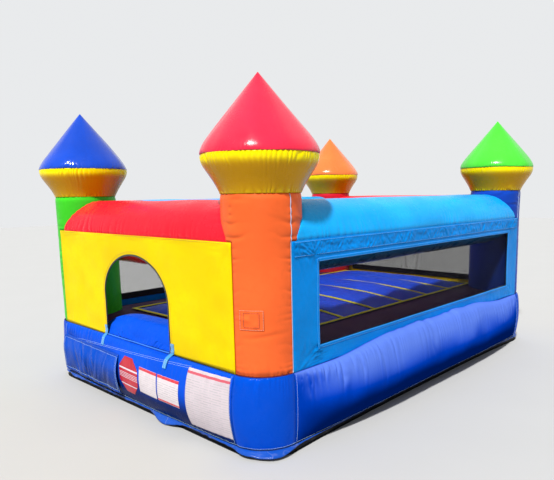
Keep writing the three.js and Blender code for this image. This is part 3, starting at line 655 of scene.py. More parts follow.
# Each corner's column and cone, and each side's beam and wall sheet.
COLUMNS = {
    "front_right": (pvc("column_orange", "pvc_orange", "fa6a30", 0.42),
                    pvc("cone_red", "pvc_red", "f02848", 0.18, **GLOSSY)),
    "rear_right": (pvc("column_royal", "pvc_royal_blue", "1044b4", 0.34),
                   pvc("cone_green", "pvc_green", "4cd838", 0.20, **GLOSSY)),
    "rear_left": (pvc("column_red", "pvc_red", "e02034", 0.34),
                  pvc("cone_orange", "pvc_orange", "f88040", 0.20, **GLOSSY)),
    "front_left": (pvc("column_green", "pvc_green", "40d028", 0.38),
                   pvc("cone_blue", "pvc_royal_blue", "1048c4", 0.18, **GLOSSY)),
}
WALLS = {"front": (BEAM_RED, WALL_YELLOW), "right": (BEAM_BLUE, SHEET_BLUE),
         "rear": (BEAM_RED, WALL_YELLOW), "left": (BEAM_BLUE, SHEET_BLUE)}

# ---- base


def base(side):
    """A side's base panel and the rounded corner after it, with points closest where they curve most."""
    share = (1 - np.cos(np.pi * steps(0, 1, 0.014))) / 2
    z = np.concatenate([[BASE_BOTTOM, BASE_BOTTOM + 0.015], lerp(HEM, BASE_TOP, share)])
    x = steps(-side.along, side.along, 0.0065)[:, None]
    cloth_piece(f"panel_base_{side.name}", on_base(side, x, z), BLUE if side is FRONT else SIDE_BLUE,
                CHAMBER_CLOTH, replaces=[f"base_{side.name}"])
    cloth_piece(f"panel_base_corner_{side.corner}", on_corner(side, steps(0, 1, 0.0125)[:, None], z),
                CORNER_BLUE, CHAMBER_CLOTH, replaces=[f"base_corner_{side.corner}"])


# ---- columns and turrets


def column_radius(side, angle, z):
    seed = 400 + 20 * side.turn
    around = angle * COLUMN_RADIUS
    half_round = np.pi * COLUMN_RADIUS
    radius = COLUMN_RADIUS + 0.003 * noise(seed, np.cos(angle) * 2, np.sin(angle) * 2, z * 3)
    radius = radius + creases(around, z, (-half_round, half_round), (COLUMN_FOOT, COLUMN_TOP), 16,
                              seed + 5, 0.11, 0.014, 0.0030)
    to_seam = np.minimum(np.abs(angle), np.abs(angle + np.pi / 2)) * COLUMN_RADIUS
    radius = radius + gathers(z, to_seam, 0.062, 0.065, 0.0055, seed + 8)
    radius = radius + gathers(around, COLUMN_TOP - z, 0.05, 0.05, 0.004, seed + 6)
    radius = radius + gathers(around, z - COLUMN_FOOT, 0.05, 0.07, 0.007, seed + 7)
    edge = np.minimum(z - COLUMN_FOOT, COLUMN_TOP - z)
    radius = radius - 0.006 * np.exp(-(edge / 0.02) ** 2)
    past_seams = np.maximum(angle, -np.pi / 2 - angle) * COLUMN_RADIUS  # above 0 behind the wall sheets
    room = COLUMN_RADIUS - SHEET_ROOM + 0.5 * (np.maximum(0, -past_seams) + np.maximum(0, z - WALL_TOP))
    return np.where(past_seams > -0.03, np.minimum(radius, room), radius)


def column(side):
    """A column, and the pale piping down one of its seams, where a wall sheet is sewn on."""
    angle = np.linspace(-np.pi, np.pi, 240, endpoint=False)[:, None]
    z = lerp(COLUMN_FOOT, COLUMN_TOP, steps(0, 1, 0.006))
    cloth_piece(f"tube_column_{side.corner}", on_round(side, angle, column_radius(side, angle, z), z),
                COLUMNS[side.corner][0], CHAMBER_CLOTH, round_u=True, replaces=[f"column_{side.corner}"])
    name, angle = ("a", -np.pi / 2) if side.turn % 2 else ("b", 0.0)
    z = steps(COLUMN_FOOT + 0.004, COLUMN_TOP - 0.004, 0.008)
    path = on_round(side, angle, column_radius(side, angle, z) + 0.0015, z)
    normal = turned_to(np.array([math.cos(angle), math.sin(angle), 0.0]), side.turn)
    sweep(f"piping_{side.corner}_{name}", path, normal, ellipse(0.0030, 0.0028), PALE_PIPING)


def turret(side):
    """The yellow bowl on a column, rounded into its seam, and the cone on it, nearly upright at the seam."""
    seed = 500 + 20 * side.turn
    angle = np.linspace(-np.pi, np.pi, 520, endpoint=False)[:, None]
    ring = np.array([np.cos(angle), np.sin(angle)])
    around = angle * EQUATOR_RADIUS

    share = steps(0, 1, 0.02)
    z = lerp(COLUMN_TOP, EQUATOR_Z, share)
    radius = lerp(COLUMN_RADIUS, EQUATOR_RADIUS, share) + 0.020 * np.sin(np.pi * share ** 2.2)
    radius = radius + 0.003 * noise(seed, *(2 * ring), z * 5)
    held = smooth(0.2 + (EQUATOR_Z - z) / 0.030)
    radius = radius + held * gathers(around, EQUATOR_Z - z, 0.034, 0.060, 0.011, seed + 1) - 0.0015
    radius = radius + gathers(around, z - COLUMN_TOP, 0.050, 0.03, 0.008, seed + 2)
    cloth_piece(f"bowl_{side.corner}", on_round(side, angle, radius, z), TURRET_YELLOW, CHAMBER_CLOTH,
                round_u=True, replaces=[f"turret_bowl_{side.corner}"])

    share = np.concatenate([steps(0, 0.2, 0.008), steps(0.2, 0.994, 0.02)[1:]])
    z = EQUATOR_Z + (APEX_Z - EQUATOR_Z) * share
    gore = np.abs(np.sin(2 * (angle + 0.35))) ** 0.8
    radius = EQUATOR_RADIUS * (1 - share) * (1 + 0.107 * (1 - np.exp(-share / 0.09)))
    radius = radius * (1 + 0.022 * (gore - 0.7) * np.sin(np.pi * share ** 0.6))
    folds = noise(seed + 3, *(3.2 * ring), share * 1.5)
    radius = radius + 0.011 * folds * np.sin(np.pi * share ** 0.55) * (1 - share)
    radius = radius + gathers(around, z - EQUATOR_Z, 0.030, 0.028, 0.005, seed + 4)
    cloth_piece(f"cone_{side.corner}", on_round(side, angle, np.maximum(radius, 0.0015), z),
                COLUMNS[side.corner][1], CHAMBER_CLOTH, round_u=True, replaces=[f"turret_cone_{side.corner}"])


# ---- beams


def beam(side):
    """A fat tube between two columns, whose ends follow the columns and the mitres with the next beams."""
    seed = 600 + 20 * side.turn
    angle = np.linspace(0, 2 * np.pi, 200, endpoint=False)
    across = -np.cos(angle)  # -1 at the outer seam, 1 inside the house
    depth = BEAM_RADIUS * across
    reach = np.sqrt(COLUMN_RADIUS ** 2 - depth ** 2)
    end = side.along - np.where(depth > 0, np.maximum(reach, depth), reach)
    share = np.linspace(-1, 1, int(2 * side.along / 0.0075))[:, None]
    share = np.sign(share) * (1 - (1 - np.abs(share)) ** 1.08)
    x = share * end
    to_seam = np.minimum(angle, 2 * np.pi - angle) * BEAM_RADIUS
    to_end = (1 - np.abs(share)) * end
    radius = BEAM_RADIUS + 0.004 * noise(seed, x * 2.2, 3 * np.cos(angle), 3 * np.sin(angle))
    radius = radius + gathers(x, to_seam, 0.062, 0.10, 0.0050, seed + 1)
    radius = radius + gathers(angle * BEAM_RADIUS, to_end, 0.06, 0.08, 0.008, seed + 2)
    radius = radius - 0.006 * np.exp(-(to_end / 0.015) ** 2) - 0.004 * np.exp(-(to_seam / 0.012) ** 2)
    z = BEAM_Z + radius * np.sin(angle)
    room = WALL_FACE - SHEET_ROOM + 0.5 * np.maximum(0, z - WALL_TOP)
    points = on_side(side, x, side.out - np.maximum(radius * across, -room), z)
    cloth_piece(f"tube_beam_{side.name}", np.swapaxes(points, 0, 1)[::-1], WALLS[side.name][0], CHAMBER_CLOTH,
                round_u=True, replaces=[f"beam_{side.name}"])


def beam_seams(side):
    """Threads along the seam between a beam and its wall sheet, and a crumpled band sewn below it."""
    seed = 700 + 20 * side.turn
    half = side.along - 0.02
    threads = [(0.008, 0.0008)]  # drops below the wall's top, and lifts
    if side is not FRONT:
        x, z = steps(-half, half, 0.007)[:, None], steps(WALL_TOP - 0.100, WALL_TOP - 0.004, 0.006)
        share = (z - z[0]) / (z[-1] - z[0])
        crumple = 0.0035 * noise(seed, x * 22, z * 30) + 0.002 * noise(seed + 1, x * 55, z * 60)
        crumple = crumple + creases(z, x, (z[0], z[-1]), (-half, half), int(60 * half), seed + 2,
                                    0.05, 0.009, 0.0045, 1.2)
        lift = 0.0035 + np.maximum(crumple, -0.002) * np.sin(np.pi * share) ** 0.5
        cloth_piece(f"crumpled_band_{side.name}", on_wall(side, x, z, lift), WALLS[side.name][1], TRIM_CLOTH)
        threads = [(0.095, 0.0048), (0.008, 0.0048)]
    x = steps(-half, half, 0.02)
    lines = [(on_wall(side, x, WALL_TOP - drop, lift), side.normal) for drop, lift in threads]
    stitching(f"seam_stitching_{side.name}", lines, SOFT_THREAD if side.turn % 2 else YELLOW_SEAM, 0.0013)


# ---- wall sheets


def sheet_waves(side, x, z):
    """How far a wall sheet stands out of its plane."""
    half, seed = side.along, side.seed
    edge = np.minimum(half - np.abs(x), np.minimum(z - BASE_TOP, WALL_TOP - z))
    waves = 0.0035 * noise(seed, x * 3, z * 3) + 0.0018 * noise(seed + 1, x * 9, z * 9)
    waves = waves + gathers(x, z - BASE_TOP, 0.055, 0.10, 0.0050, seed + 2)
    waves = waves + gathers(x, WALL_TOP - z, 0.06, 0.045, 0.0030, seed + 3)
    for end in (-1, 1):
        waves = waves + gathers(z, half - end * x, 0.05, 0.05, 0.0035, seed + 5 + end)
        for place_z, lean in ((BASE_TOP, 1), (WALL_TOP, -1)):
            facing = math.atan2(lean, -end)
            waves = waves + rays(x, z, (end * half, place_z), facing, 0.7, 0.16, 0.007, seed + 9 + lean)
        if side is not FRONT:
            for place_z, lean in ((WINDOW_BOTTOM, -1), (WINDOW_TOP, 1)):
                place = (end * (half - WINDOW_INSET), place_z)
                waves = waves + rays(x, z, place, math.atan2(lean, end), 1.2, 0.14, 0.016, seed + 21 + lean)
    return np.maximum(waves * smooth(edge / 0.012), -0.001 - edge ** 2)


def on_wall(side, x, z, lift=0.0):
    return on_side(side, x, side.out + WALL_FACE + sheet_waves(side, x, z) + lift, z)


def rectangle(x0, z0, x1, z1, counts):
    """Points round a rectangle and back to its first corner, along z first. counts is for z and for x."""
    corners = [(x0, z0), (x0, z1), (x1, z1), (x1, z0), (x0, z0)]
    edges = zip(corners, corners[1:], counts * 2)
    parts = [np.linspace(start, end, count, endpoint=False) for start, end, count in edges]
    return np.concatenate([*parts, [corners[-1]]]).T


def ring_grid(inner, outer, rows, pack=1.0):
    share = np.linspace(0, 1, rows) ** pack
    return inner[:, :, None] + (outer - inner)[:, :, None] * share


def door_outline(grow=0.0):
    """The door's edge in its wall's plane, from its left foot over the arch to its right foot."""
    centre, half = (DOOR_LEFT + DOOR_RIGHT) / 2, (DOOR_RIGHT - DOOR_LEFT) / 2 + grow
    jamb = np.linspace(COLUMN_FOOT, DOOR_SPRING, 27)[:-1]
    angle = np.linspace(np.pi, 0, 49)
    over = [centre + half * np.cos(angle), DOOR_SPRING + (DOOR_TOP - DOOR_SPRING + grow) * np.sin(angle)]
    left, right = [0 * jamb + centre - half, jamb], [0 * jamb + centre + half, jamb[::-1]]
    return np.concatenate([left, over, right], 1)


def door_wall():
    half, height = FRONT.along, WALL_TOP - COLUMN_FOOT
    outer = rectangle(-half, COLUMN_FOOT, half, WALL_TOP, (26, 48))[:, :-48]
    points = on_wall(FRONT, *ring_grid(door_outline(), outer, 70, 1.35))
    sheet = cloth_piece("sheet_front", points, WALL_YELLOW, SHEET_CLOTH, replaces=["wall_front"])
    rim = on_wall(FRONT, *door_outline())
    binding = sweep("door_binding", rim, FRONT.normal, ellipse(0.0075, 0.0045, 10, -0.001), BINDING_BLACK)
    hem = [(on_wall(FRONT, *door_outline(grow), 0.0008), FRONT.normal) for grow in (0.020, 0.027)]
    threads = stitching("door_stitching", hem, YELLOW_THREAD, 0.0011)
    door = (DOOR_RIGHT - DOOR_LEFT) * (DOOR_SPRING - COLUMN_FOOT)
    door += np.pi / 4 * (DOOR_RIGHT - DOOR_LEFT) * (DOOR_TOP - DOOR_SPRING)


def window_outline(side, grow=0.0):
    half = side.along - WINDOW_INSET + grow
    return rectangle(-half, WINDOW_BOTTOM - grow, half, WINDOW_TOP + grow, (30, 150))


def window_wall(side):
    """A wall sheet with its window, the window's hem, the netting and the black tape that holds it."""
    name, half, height = side.name, side.along, WALL_TOP - COLUMN_FOOT
    finish = WALLS[name][1]
    outer = rectangle(-half, COLUMN_FOOT, half, WALL_TOP, (30, 150))
    flat = ring_grid(window_outline(side), outer, 24)[:, :-1]
    sheet = cloth_piece(f"sheet_{name}", on_wall(side, *flat), finish, SHEET_CLOTH, round_u=True,
                        replaces=[f"wall_{name}"])
    border = on_wall(side, *window_outline(side, 0.012)[:, :-1], 0.0012)
    hem = sweep(f"window_hem_{name}", border, side.normal, ellipse(0.012, 0.0013), finish, closed=True)
    lines = [(on_wall(side, *window_outline(side, grow), 0.0026), side.normal) for grow in (0.004, 0.020)]
    threads = stitching(f"window_stitching_{name}", lines, SOFT_THREAD, 0.0011)

    reach = half - WINDOW_INSET + WINDOW_OVERLAP
    x, z = grid(-reach, reach, WINDOW_BOTTOM - WINDOW_OVERLAP, WINDOW_TOP + WINDOW_OVERLAP, 0.03)
    sag = 0.006 * noise(side.seed + 40, x * 1.7, z * 2) * smooth((reach - np.abs(x)) / 0.1)
    points = on_side(side, x, side.out + WALL_FACE - SHEET_ROOM - 0.004 + sag * 0.5, z)
    mesh = cloth_piece(f"netting_{name}", points, NETTING, 0.001, replaces=[f"window_mesh_{name}"])

    x, z = ring_grid(window_outline(side, -0.004), window_outline(side, 0.060), 6)[:, :-1]
    points = on_side(side, x, side.out + WALL_FACE - 0.0125 + 0.0012 * noise(171, x * 9, z * 9), z)
    cloth_piece(f"netting_tape_{name}", points[:, ::-1], BINDING_BLACK, TRIM_CLOTH, round_u=True)


# ---- floor of the house


def bed_top(x, y):
    across = x / BED_X
    share = (y - BED_FRONT) / (BED_REAR - BED_FRONT)
    crown = BED_CROWN * (1 - across ** 2) * (1 - (2 * share - 1) ** 4)
    place = (share * BED_CHANNELS) % 1
    inside = np.clip((place - BED_VALLEY) / (1 - 2 * BED_VALLEY), 0, 1)
    taper = 1 - np.minimum(1, np.abs(across) / 0.968) ** 6
    return BED_EDGE + crown + BED_BULGE * np.sin(np.pi * inside) ** 0.8 * taper


def jump_bed():
    """The bed's channels, gathered at their seams, with yellow strips over the seams and round the edge."""
    x, y = steps(-BED_X, BED_X, 0.014)[:, None], steps(BED_FRONT, BED_REAR, 0.0115)
    width = (BED_REAR - BED_FRONT) / BED_CHANNELS
    share = ((y - BED_FRONT) / width) % 1
    to_seam = np.minimum(share, 1 - share) * width
    channel = np.floor((y - BED_FRONT) / width)
    folds = gathers(x + 3 * channel, to_seam - 0.014, 0.055, 0.06, 0.006, 61)
    folds = folds + gathers(y + 7, BED_X - np.abs(x), 0.05, 0.06, 0.005, 65)
    waves = 0.004 * noise(67, x * 4, y * 4)
    inside = smooth(np.minimum(BED_X - np.abs(x), np.minimum(y - BED_FRONT, BED_REAR - y)) / 0.03)
    height = bed_top(x, y) + (folds * smooth((to_seam - 0.012) / 0.02) + waves) * inside
    cloth_piece("bed_top", at(x, y, height), BED_BLUE, CHAMBER_CLOTH, replaces=["jump_bed"])

    up = np.array([0.0, 0.0, 1.0])
    band = ellipse(0.022, 0.0022, lift=0.0065)
    x = steps(-BED_X, BED_X, 0.02)
    for k in range(1, BED_CHANNELS):
        y = BED_FRONT + k * (BED_REAR - BED_FRONT) / BED_CHANNELS
        path = at(x, y + 0.002 * noise(70 + k, x * 4), bed_top(x, y) + 0.001 * noise(80 + k, x * 9))
        sweep(f"bed_strip_{k}", path, up, band, STRIP_YELLOW)
    y, x = rectangle(BED_FRONT, -BED_X, BED_REAR, BED_X, (90, 158))[:, :-1]
    sweep("bed_edge_band", at(x, y, BED_EDGE + 0.004), up, band, STRIP_YELLOW, closed=True,
          replaces=["bed_seam_strips"])


def base_rim():
    """The swollen margin between the walls and the bed, in one ring. The columns stand through it."""
    edge = WALL_FACE - 0.006
    outer = []
    for side in SIDES:
        x = np.linspace(-side.along, side.along, 110 if side.turn % 2 else 60)
        outer.append(on_side(side, x, side.out + edge, 0.0))
        outer.append(on_round(side, np.linspace(-np.pi / 2, 0, 16)[1:-1], edge, 0.0))
    outer = np.concatenate(outer)[:, :2]
    inner = np.clip(outer, (-BED_X, BED_FRONT), (BED_X, BED_REAR))
    x, y = ring_grid(outer.T, inner.T, 22)
    across = np.linspace(0, 1, 22)
    around = arc_length(outer, 0)[:, None]
    z = lerp(BASE_TOP, BED_EDGE, across) + 0.022 * np.sin(np.pi * across)
    z = z + gathers(around, 0.26 * across, 0.06, 0.07, 0.006, 91) * smooth(across / 0.05)
    z = z + 0.004 * noise(95, x * 4, y * 4) * np.sin(np.pi * across)
    # its dark maroon is painted shade
    cloth_piece("rim_top", at(x, y, z), RIM_PAINTED_SHADE, CHAMBER_CLOTH, round_u=True, replaces=["base_rim"])


# ---- step pillow

PILLOW_VOXEL, PILLOW_CAP, PILLOW_SHARE = 0.007, 0.012, 0.94
AIR = dict(quality=6, mass=0.3, tension_stiffness=40, compression_stiffness=40, bending_stiffness=0.4,
           shrink_min=-0.05, vertex_group_mass="held", use_pressure=True, uniform_pressure_force=4)


def points_of(mesh):
    places = np.empty(3 * len(mesh.vertices))
    mesh.vertices.foreach_get("co", places)
    return places.reshape(-1, 3)


def evaluated_mesh(piece):
    """A copy of a piece's mesh with its modifiers applied."""
    graph = bpy.context.evaluated_depsgraph_get()
    graph.update()
    return bpy.data.meshes.new_from_object(piece.evaluated_get(graph))


def blow_up(piece, held, cap):
    """Fill a closed cloth piece with air by simulation. Held points stay, and none moves more than cap."""
    piece.vertex_groups.new(name="held").add([int(i) for i in np.flatnonzero(held)], 1.0, "REPLACE")
    start = points_of(piece.data)
    cloth = piece.modifiers.new("air", "CLOTH")
    for key, value in AIR.items():
        setattr(cloth.settings, key, value)
    cloth.settings.effector_weights.gravity = 0
    for frame_number in range(1, 21):
        bpy.context.scene.frame_set(frame_number)
    blown = evaluated_mesh(piece)
    moved = points_of(blown) - start
    piece.modifiers.remove(cloth)
    bpy.context.scene.frame_set(1)
    bpy.data.meshes.remove(blown)
    length = np.linalg.norm(moved, axis=1, keepdims=True)
    return start + moved * np.minimum(1, cap / np.maximum(length, 1e-9))


def rim_height(y):
    wall = np.where(y < 0, -1, 1) * (COLUMN_Y + WALL_FACE)
    bed = np.where(y < 0, BED_FRONT, BED_REAR)
    return lerp(BASE_TOP, BED_EDGE, np.clip((y - wall) / (bed - wall), 0, 1))


def door_step():
    """The step pillow: a closed cushion, remeshed evenly, swollen by simulated air, with gathered ends."""
    low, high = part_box("door_step")
    a = np.linspace(-1, 1, 90)[:, None]
    b = -np.cos(np.linspace(0, np.pi, 56))
    x, y = (low.x + high.x) / 2 + a * (high.x - low.x) / 2, (low.y + high.y) / 2 + b * (high.y - low.y) / 2
    floor = rim_height(y) + 0.006
    round_b = np.abs(b) ** np.where(b < 0, 4, 2)
    height = PILLOW_SHARE * (high.z - floor) * ((1 - np.abs(a) ** 4) * (1 - round_b)) ** 0.5
    top, bottom = at(x, y, floor + height + 0.004), at(x, y, floor - 0.004)
    columns, rows = top.shape[:2]
    count = columns * rows
    faces = grid_faces(columns, rows)
    index = np.arange(count).reshape(columns, rows)
    edge = np.concatenate([index[:-1, 0], index[-1, :-1], index[:0:-1, -1], index[0, :0:-1]])
    following = np.roll(edge, -1)
    rim = np.stack([edge, following, following + count, edge + count], -1)
    faces = np.concatenate([faces, faces[:, ::-1] + count, rim[:, ::-1]]).tolist()
    points = np.concatenate([top.reshape(-1, 3), bottom.reshape(-1, 3)])
    step = make_piece("step_pillow", points, faces, BLUE, replaces=["door_step"])
    remesh = step.modifiers.new("even", "REMESH")
    remesh.mode, remesh.voxel_size = "VOXEL", PILLOW_VOXEL
    even = evaluated_mesh(step)
    step.modifiers.remove(remesh)
    step.data = even
    places = points_of(even)
    foot = places[:, 2] - rim_height(places[:, 1])
    places = blow_up(step, foot < 0.012, PILLOW_CAP)
    ends = np.minimum(places[:, 0] - low.x, high.x - places[:, 0])
    edges = np.minimum(places[:, 1] - low.y, high.y - places[:, 1])
    folds = gathers(places[:, 1], ends, 0.05, 0.07, 0.006, 101)
    folds = folds + gathers(places[:, 0], edges, 0.06, 0.06, 0.004, 105)
    places[:, 2] += folds * smooth(foot / 0.05)
    even.vertices.foreach_set("co", places.ravel())
    even.update()
    even.shade_smooth()
    even.materials.clear()
    even.materials.append(BLUE[0])
    mark(step, places[:, 0], places[:, 1] + places[:, 2], np.maximum(foot, 0.0))
    step.modifiers.new("round", "SUBSURF").levels = 1


# ---- trim on the base


def base_strip(left, right, bottom, top, lift=0.0022):
    """A patch of points that follows the front's base panel, and their distances over it."""
    x, z = grid(left, right, bottom, top, 0.007)
    return on_base(FRONT, x, z, lift), (x - left, z - bottom)


def flap_points(x, z):
    """The zip's cover: it springs out below its hinge line and hangs in upright folds."""
    down = (FLAP_TOP - z) / (FLAP_TOP - FLAP_BOTTOM)
    spring = 0.004 + 0.022 * np.sin(np.pi / 2 * np.minimum(1, 2.2 * down))
    folds = creases(z, x, (FLAP_BOTTOM, FLAP_TOP), (-0.95, -0.35), 16, 141, 0.13, 0.020, 0.006, 0.5)
    folds = folds + 0.004 * noise(143, x * 9, z * 5)
    edge = np.minimum(np.minimum(x - FLAP_LEFT, FLAP_RIGHT - x), z - FLAP_BOTTOM)
    slack = smooth(down / 0.15) * (0.35 + 0.65 * smooth(edge / 0.05))
    flutter = 0.004 * np.sin(x * 21) * smooth((down - 0.5) / 0.5)
    return on_base(FRONT, x, z, spring + folds * slack + flutter)


def flap_outline(inset):
    x, z = rectangle(FLAP_LEFT + inset, FLAP_TOP - inset, FLAP_RIGHT - inset, FLAP_BOTTOM + inset, (40, 120))
    return flap_points(x, z)


def zip_flap():
    points = flap_points(*grid(FLAP_LEFT, FLAP_RIGHT, FLAP_BOTTOM, FLAP_TOP, 0.008))
    flap = cloth_piece("zip_cover", points, FLAP_BLUE, TRIM_CLOTH, replaces=["zip_flap"], body=None)
    lines = [(flap_outline(inset) + 0.0006 * FRONT.normal, FRONT.normal) for inset in (0.007, 0.024)]
    threads = stitching("zip_cover_stitching", lines, PALE_THREAD, 0.0015, body=None)
    hem = sweep("zip_cover_hem", flap_outline(0.0155)[:-1], FRONT.normal, ellipse(0.0145, 0.0012), FLAP_BLUE,
                closed=True, body=None)
    for piece in (flap, threads, hem):
        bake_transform(piece)


def zip_tape():
    low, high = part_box("zip_tape")
    points, flat = base_strip(low.x, high.x, low.z, high.z, 0.0018)
    cloth_piece("zip_band", points, ZIP_BLACK, 0.0015, flat=flat, replaces=["zip_tape"])
    x = steps(low.x + 0.01, high.x - 0.01, 0.02)
    z = (low.z + high.z) / 2
    rows = [(on_base(FRONT, x, z + row, 0.0030), FRONT.normal) for row in (-0.0026, 0.0026)]
    stitching("zip_teeth", rows, TEETH, 0.0018)


def patches():
    """The printed patches on the front: an octagon, a pair and a large one, with nothing on them to read."""
    low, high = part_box("label_octagon")
    centre_x, centre_z, radius = (low.x + high.x) / 2, (low.z + high.z) / 2, (high.z - low.z) / 2
    turn = np.linspace(0, 2 * np.pi, 96, endpoint=False)[:, None]
    eighth = np.pi / 4
    reach = radius * np.linspace(1, 0.01, 24) / np.cos((turn + eighth / 2) % eighth - eighth / 2)
    x, z = centre_x + reach * np.sin(turn), centre_z - reach * np.cos(turn)
    cloth_piece("patch_octagon", on_base(FRONT, x, z, 0.0022), OCTAGON_PRINT, 0.0012, round_u=True,
                flat=(x - centre_x + radius, z - centre_z + radius), replaces=["label_octagon"])
    low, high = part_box("label_twin")
    centre, half_gap = low.x + 0.2425, 0.0075
    for name, start, end in (("left", low.x, centre - half_gap), ("right", centre + half_gap, high.x)):
        points, flat = base_strip(start, end, low.z, high.z)
        cloth_piece(f"patch_{name}", points, TWIN_PRINTS[name], 0.0012, flat=flat,
                    replaces=["label_twin"] if name == "left" else [])
    low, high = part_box("label_large")
    points, flat = base_strip(low.x, high.x, low.z, high.z)
    cloth_piece("patch_large", points, LARGE_PRINT, 0.0012, flat=flat, replaces=["label_large"])


def door_tabs():
    """Straps sewn over the seam at the foot of the door, each with two crossed boxes of stitches."""
    width = np.array([0.013, 0.0, 0.0])
    for name in ("left", "right"):
        low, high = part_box(f"door_tab_{name}")
        x = (low.x + high.x) / 2
        wall_z = steps(BASE_TOP + 0.012, high.z, 0.004)[::-1]
        sway = 0.002 * np.sin(np.linspace(0, 9, len(wall_z)))
        wall = on_side(FRONT, x, FRONT.out + WALL_FACE + 0.0035 + sway, wall_z)
        path = np.concatenate([wall, on_base(FRONT, x, steps(low.z, BASE_TOP - 0.004, 0.004)[::-1], 0.0035)])
        sweep(f"strap_{name}", path, FRONT.normal, rounded_band((high.x - low.x) / 2, 0.0024), WEBBING_BLUE,
              replaces=[f"door_tab_{name}"])
        lines = []
        for start, end in ((0.02, 0.42), (0.60, 0.97)):
            part = path[int(start * len(path)):int(end * len(path))] + 0.0030 * FRONT.normal
            cross = np.linspace(-width, width, len(part))
            lines += [part - width, part + width, part + cross, part - cross]
            lines += [np.linspace(point - width, point + width, 8) for point in (part[0], part[-1])]
        stitching(f"strap_stitching_{name}", [(line, FRONT.normal) for line in lines], PALE_THREAD, 0.0016)


def sill_piping():
    """The welt along the foot of the door, where the pillow meets the base."""
    x = steps(DOOR_LEFT + 0.01, DOOR_RIGHT - 0.01, 0.012)
    out = FRONT.out + WALL_FACE + 0.001 - 0.001 * noise(191, x * 8)
    path = on_side(FRONT, x, out, BASE_TOP + 0.006 + 0.0015 * noise(192, x * 6))
    sweep("sill_welt", path, np.array([0.0, -0.7, 0.7]), ellipse(0.0055, 0.004, 10), SILL_BLUE)


def ring_path(place, spacing=0.02):
    """Points round the whole base, where place gives the height and clearance at a distance round it."""
    parts = []
    for side in SIDES:
        x = steps(-side.along, side.along, spacing)[:-1]
        parts.append(on_base(side, x, *place(side.start + x + side.along)))
        share = np.linspace(0, 1, int(CORNER_ARC / spacing), endpoint=False)
        parts.append(on_corner(side, share, *place(side.start + 2 * side.along + share * CORNER_ARC)))
    return np.concatenate(parts)


# Where round the base the welt hangs loose, and how far that reaches.
SLACK_AT, SLACK_REACH = 1.545, 0.24
CORNER_SLACK_AT, CORNER_SLACK_REACH = 2.48, 0.30


def welt_place(around, share):
    """The welt's height and clearance, at a share of its width. It hangs loose at the front in two places."""
    on_front = smooth((FRONT.following.start - around) / 0.10) * smooth(around / 0.10)
    slack = smooth(1 - np.abs((around - SLACK_AT) / SLACK_REACH))
    corner_slack = smooth(1 - np.abs(around - CORNER_SLACK_AT) / CORNER_SLACK_REACH)
    width = 0.010 + (0.008 + 0.005 * noise(151, around * 7)) * on_front + 0.040 * slack
    width = width + (0.034 + 0.010 * noise(154, around * 11)) * corner_slack
    droop = 0.006 + (0.010 + 0.010 * noise(152, around * 5)) * on_front + 0.022 * (slack + corner_slack)
    flutter = 0.004 * noise(153, around * 26) * share
    return HEM + 0.012 - droop * share ** 1.5 + flutter, 0.004 + width * share


def out_of(path):
    """Rough outward directions at points round the base."""
    side = np.abs(path[:, 0]) - COLUMN_X > np.abs(path[:, 1]) - COLUMN_Y
    direction = np.where(side[:, None], path * [1, 0, 0], path * [0, 1, 0])
    return direction / np.linalg.norm(direction, axis=1, keepdims=True)


SEAM_LEFT, SEAM_RIGHT, SEAM_LOW, SEAM_RISE = -1.13, 0.76, 0.388, 0.110  # the rising seam on the front


def base_trim():
    """The ground sheet's turned-up edge, the welt sewn above it, and the seams' threads. The black upturn
    also stands for painted shade at the base's foot.
    """
    # painted shade: the black band 48 mm tall round the base's foot is partly the ground sheet's edge and
    # partly the shade under the base's bulge
    rows = [ring_path(lambda around: (BASE_BOTTOM + rise, 0.004 + 0.002 * noise(150, around * 6)), 0.015)
            for rise in (0.0, 0.010, 0.020, 0.030, 0.040, 0.048)]
    cloth_piece("ground_upturn", np.stack(rows, 1), BLACK_VINYL, 0.0015, round_u=True)
    rows = [ring_path(lambda around: welt_place(around, share), 0.009) for share in np.linspace(1, 0, 7)]
    cloth_piece("bottom_welt", np.stack(rows, 1), WELT_BLUE, 0.0018, round_u=True, seams="v")
    path = ring_path(lambda around: (HEM + 0.020, 0.001))
    stitching("welt_stitching", [(path, out_of(path))], PALE_THREAD, 0.0013)

    z = steps(BASE_BOTTOM + 0.06, BASE_TOP - 0.01, 0.01)
    paths = [on_base(side, x, z, 0.0006) for side in SIDES for x in (side.along - 0.012, -side.along + 0.012)]
    x = steps(SEAM_LEFT, SEAM_RIGHT, 0.02)
    z = SEAM_LOW + SEAM_RISE * ((x - SEAM_LEFT) / (SEAM_RIGHT - SEAM_LEFT)) ** 0.8
    paths += [on_base(FRONT, x, z - drop, 0.0008) for drop in (0.0, 0.011)]
    stitching("base_stitching", [(path, out_of(path)) for path in paths], PALE_THREAD, 0.0014)


# ---- sewn patch and inflation sleeve


PATCH_HALF = 0.078  # half its width round the column


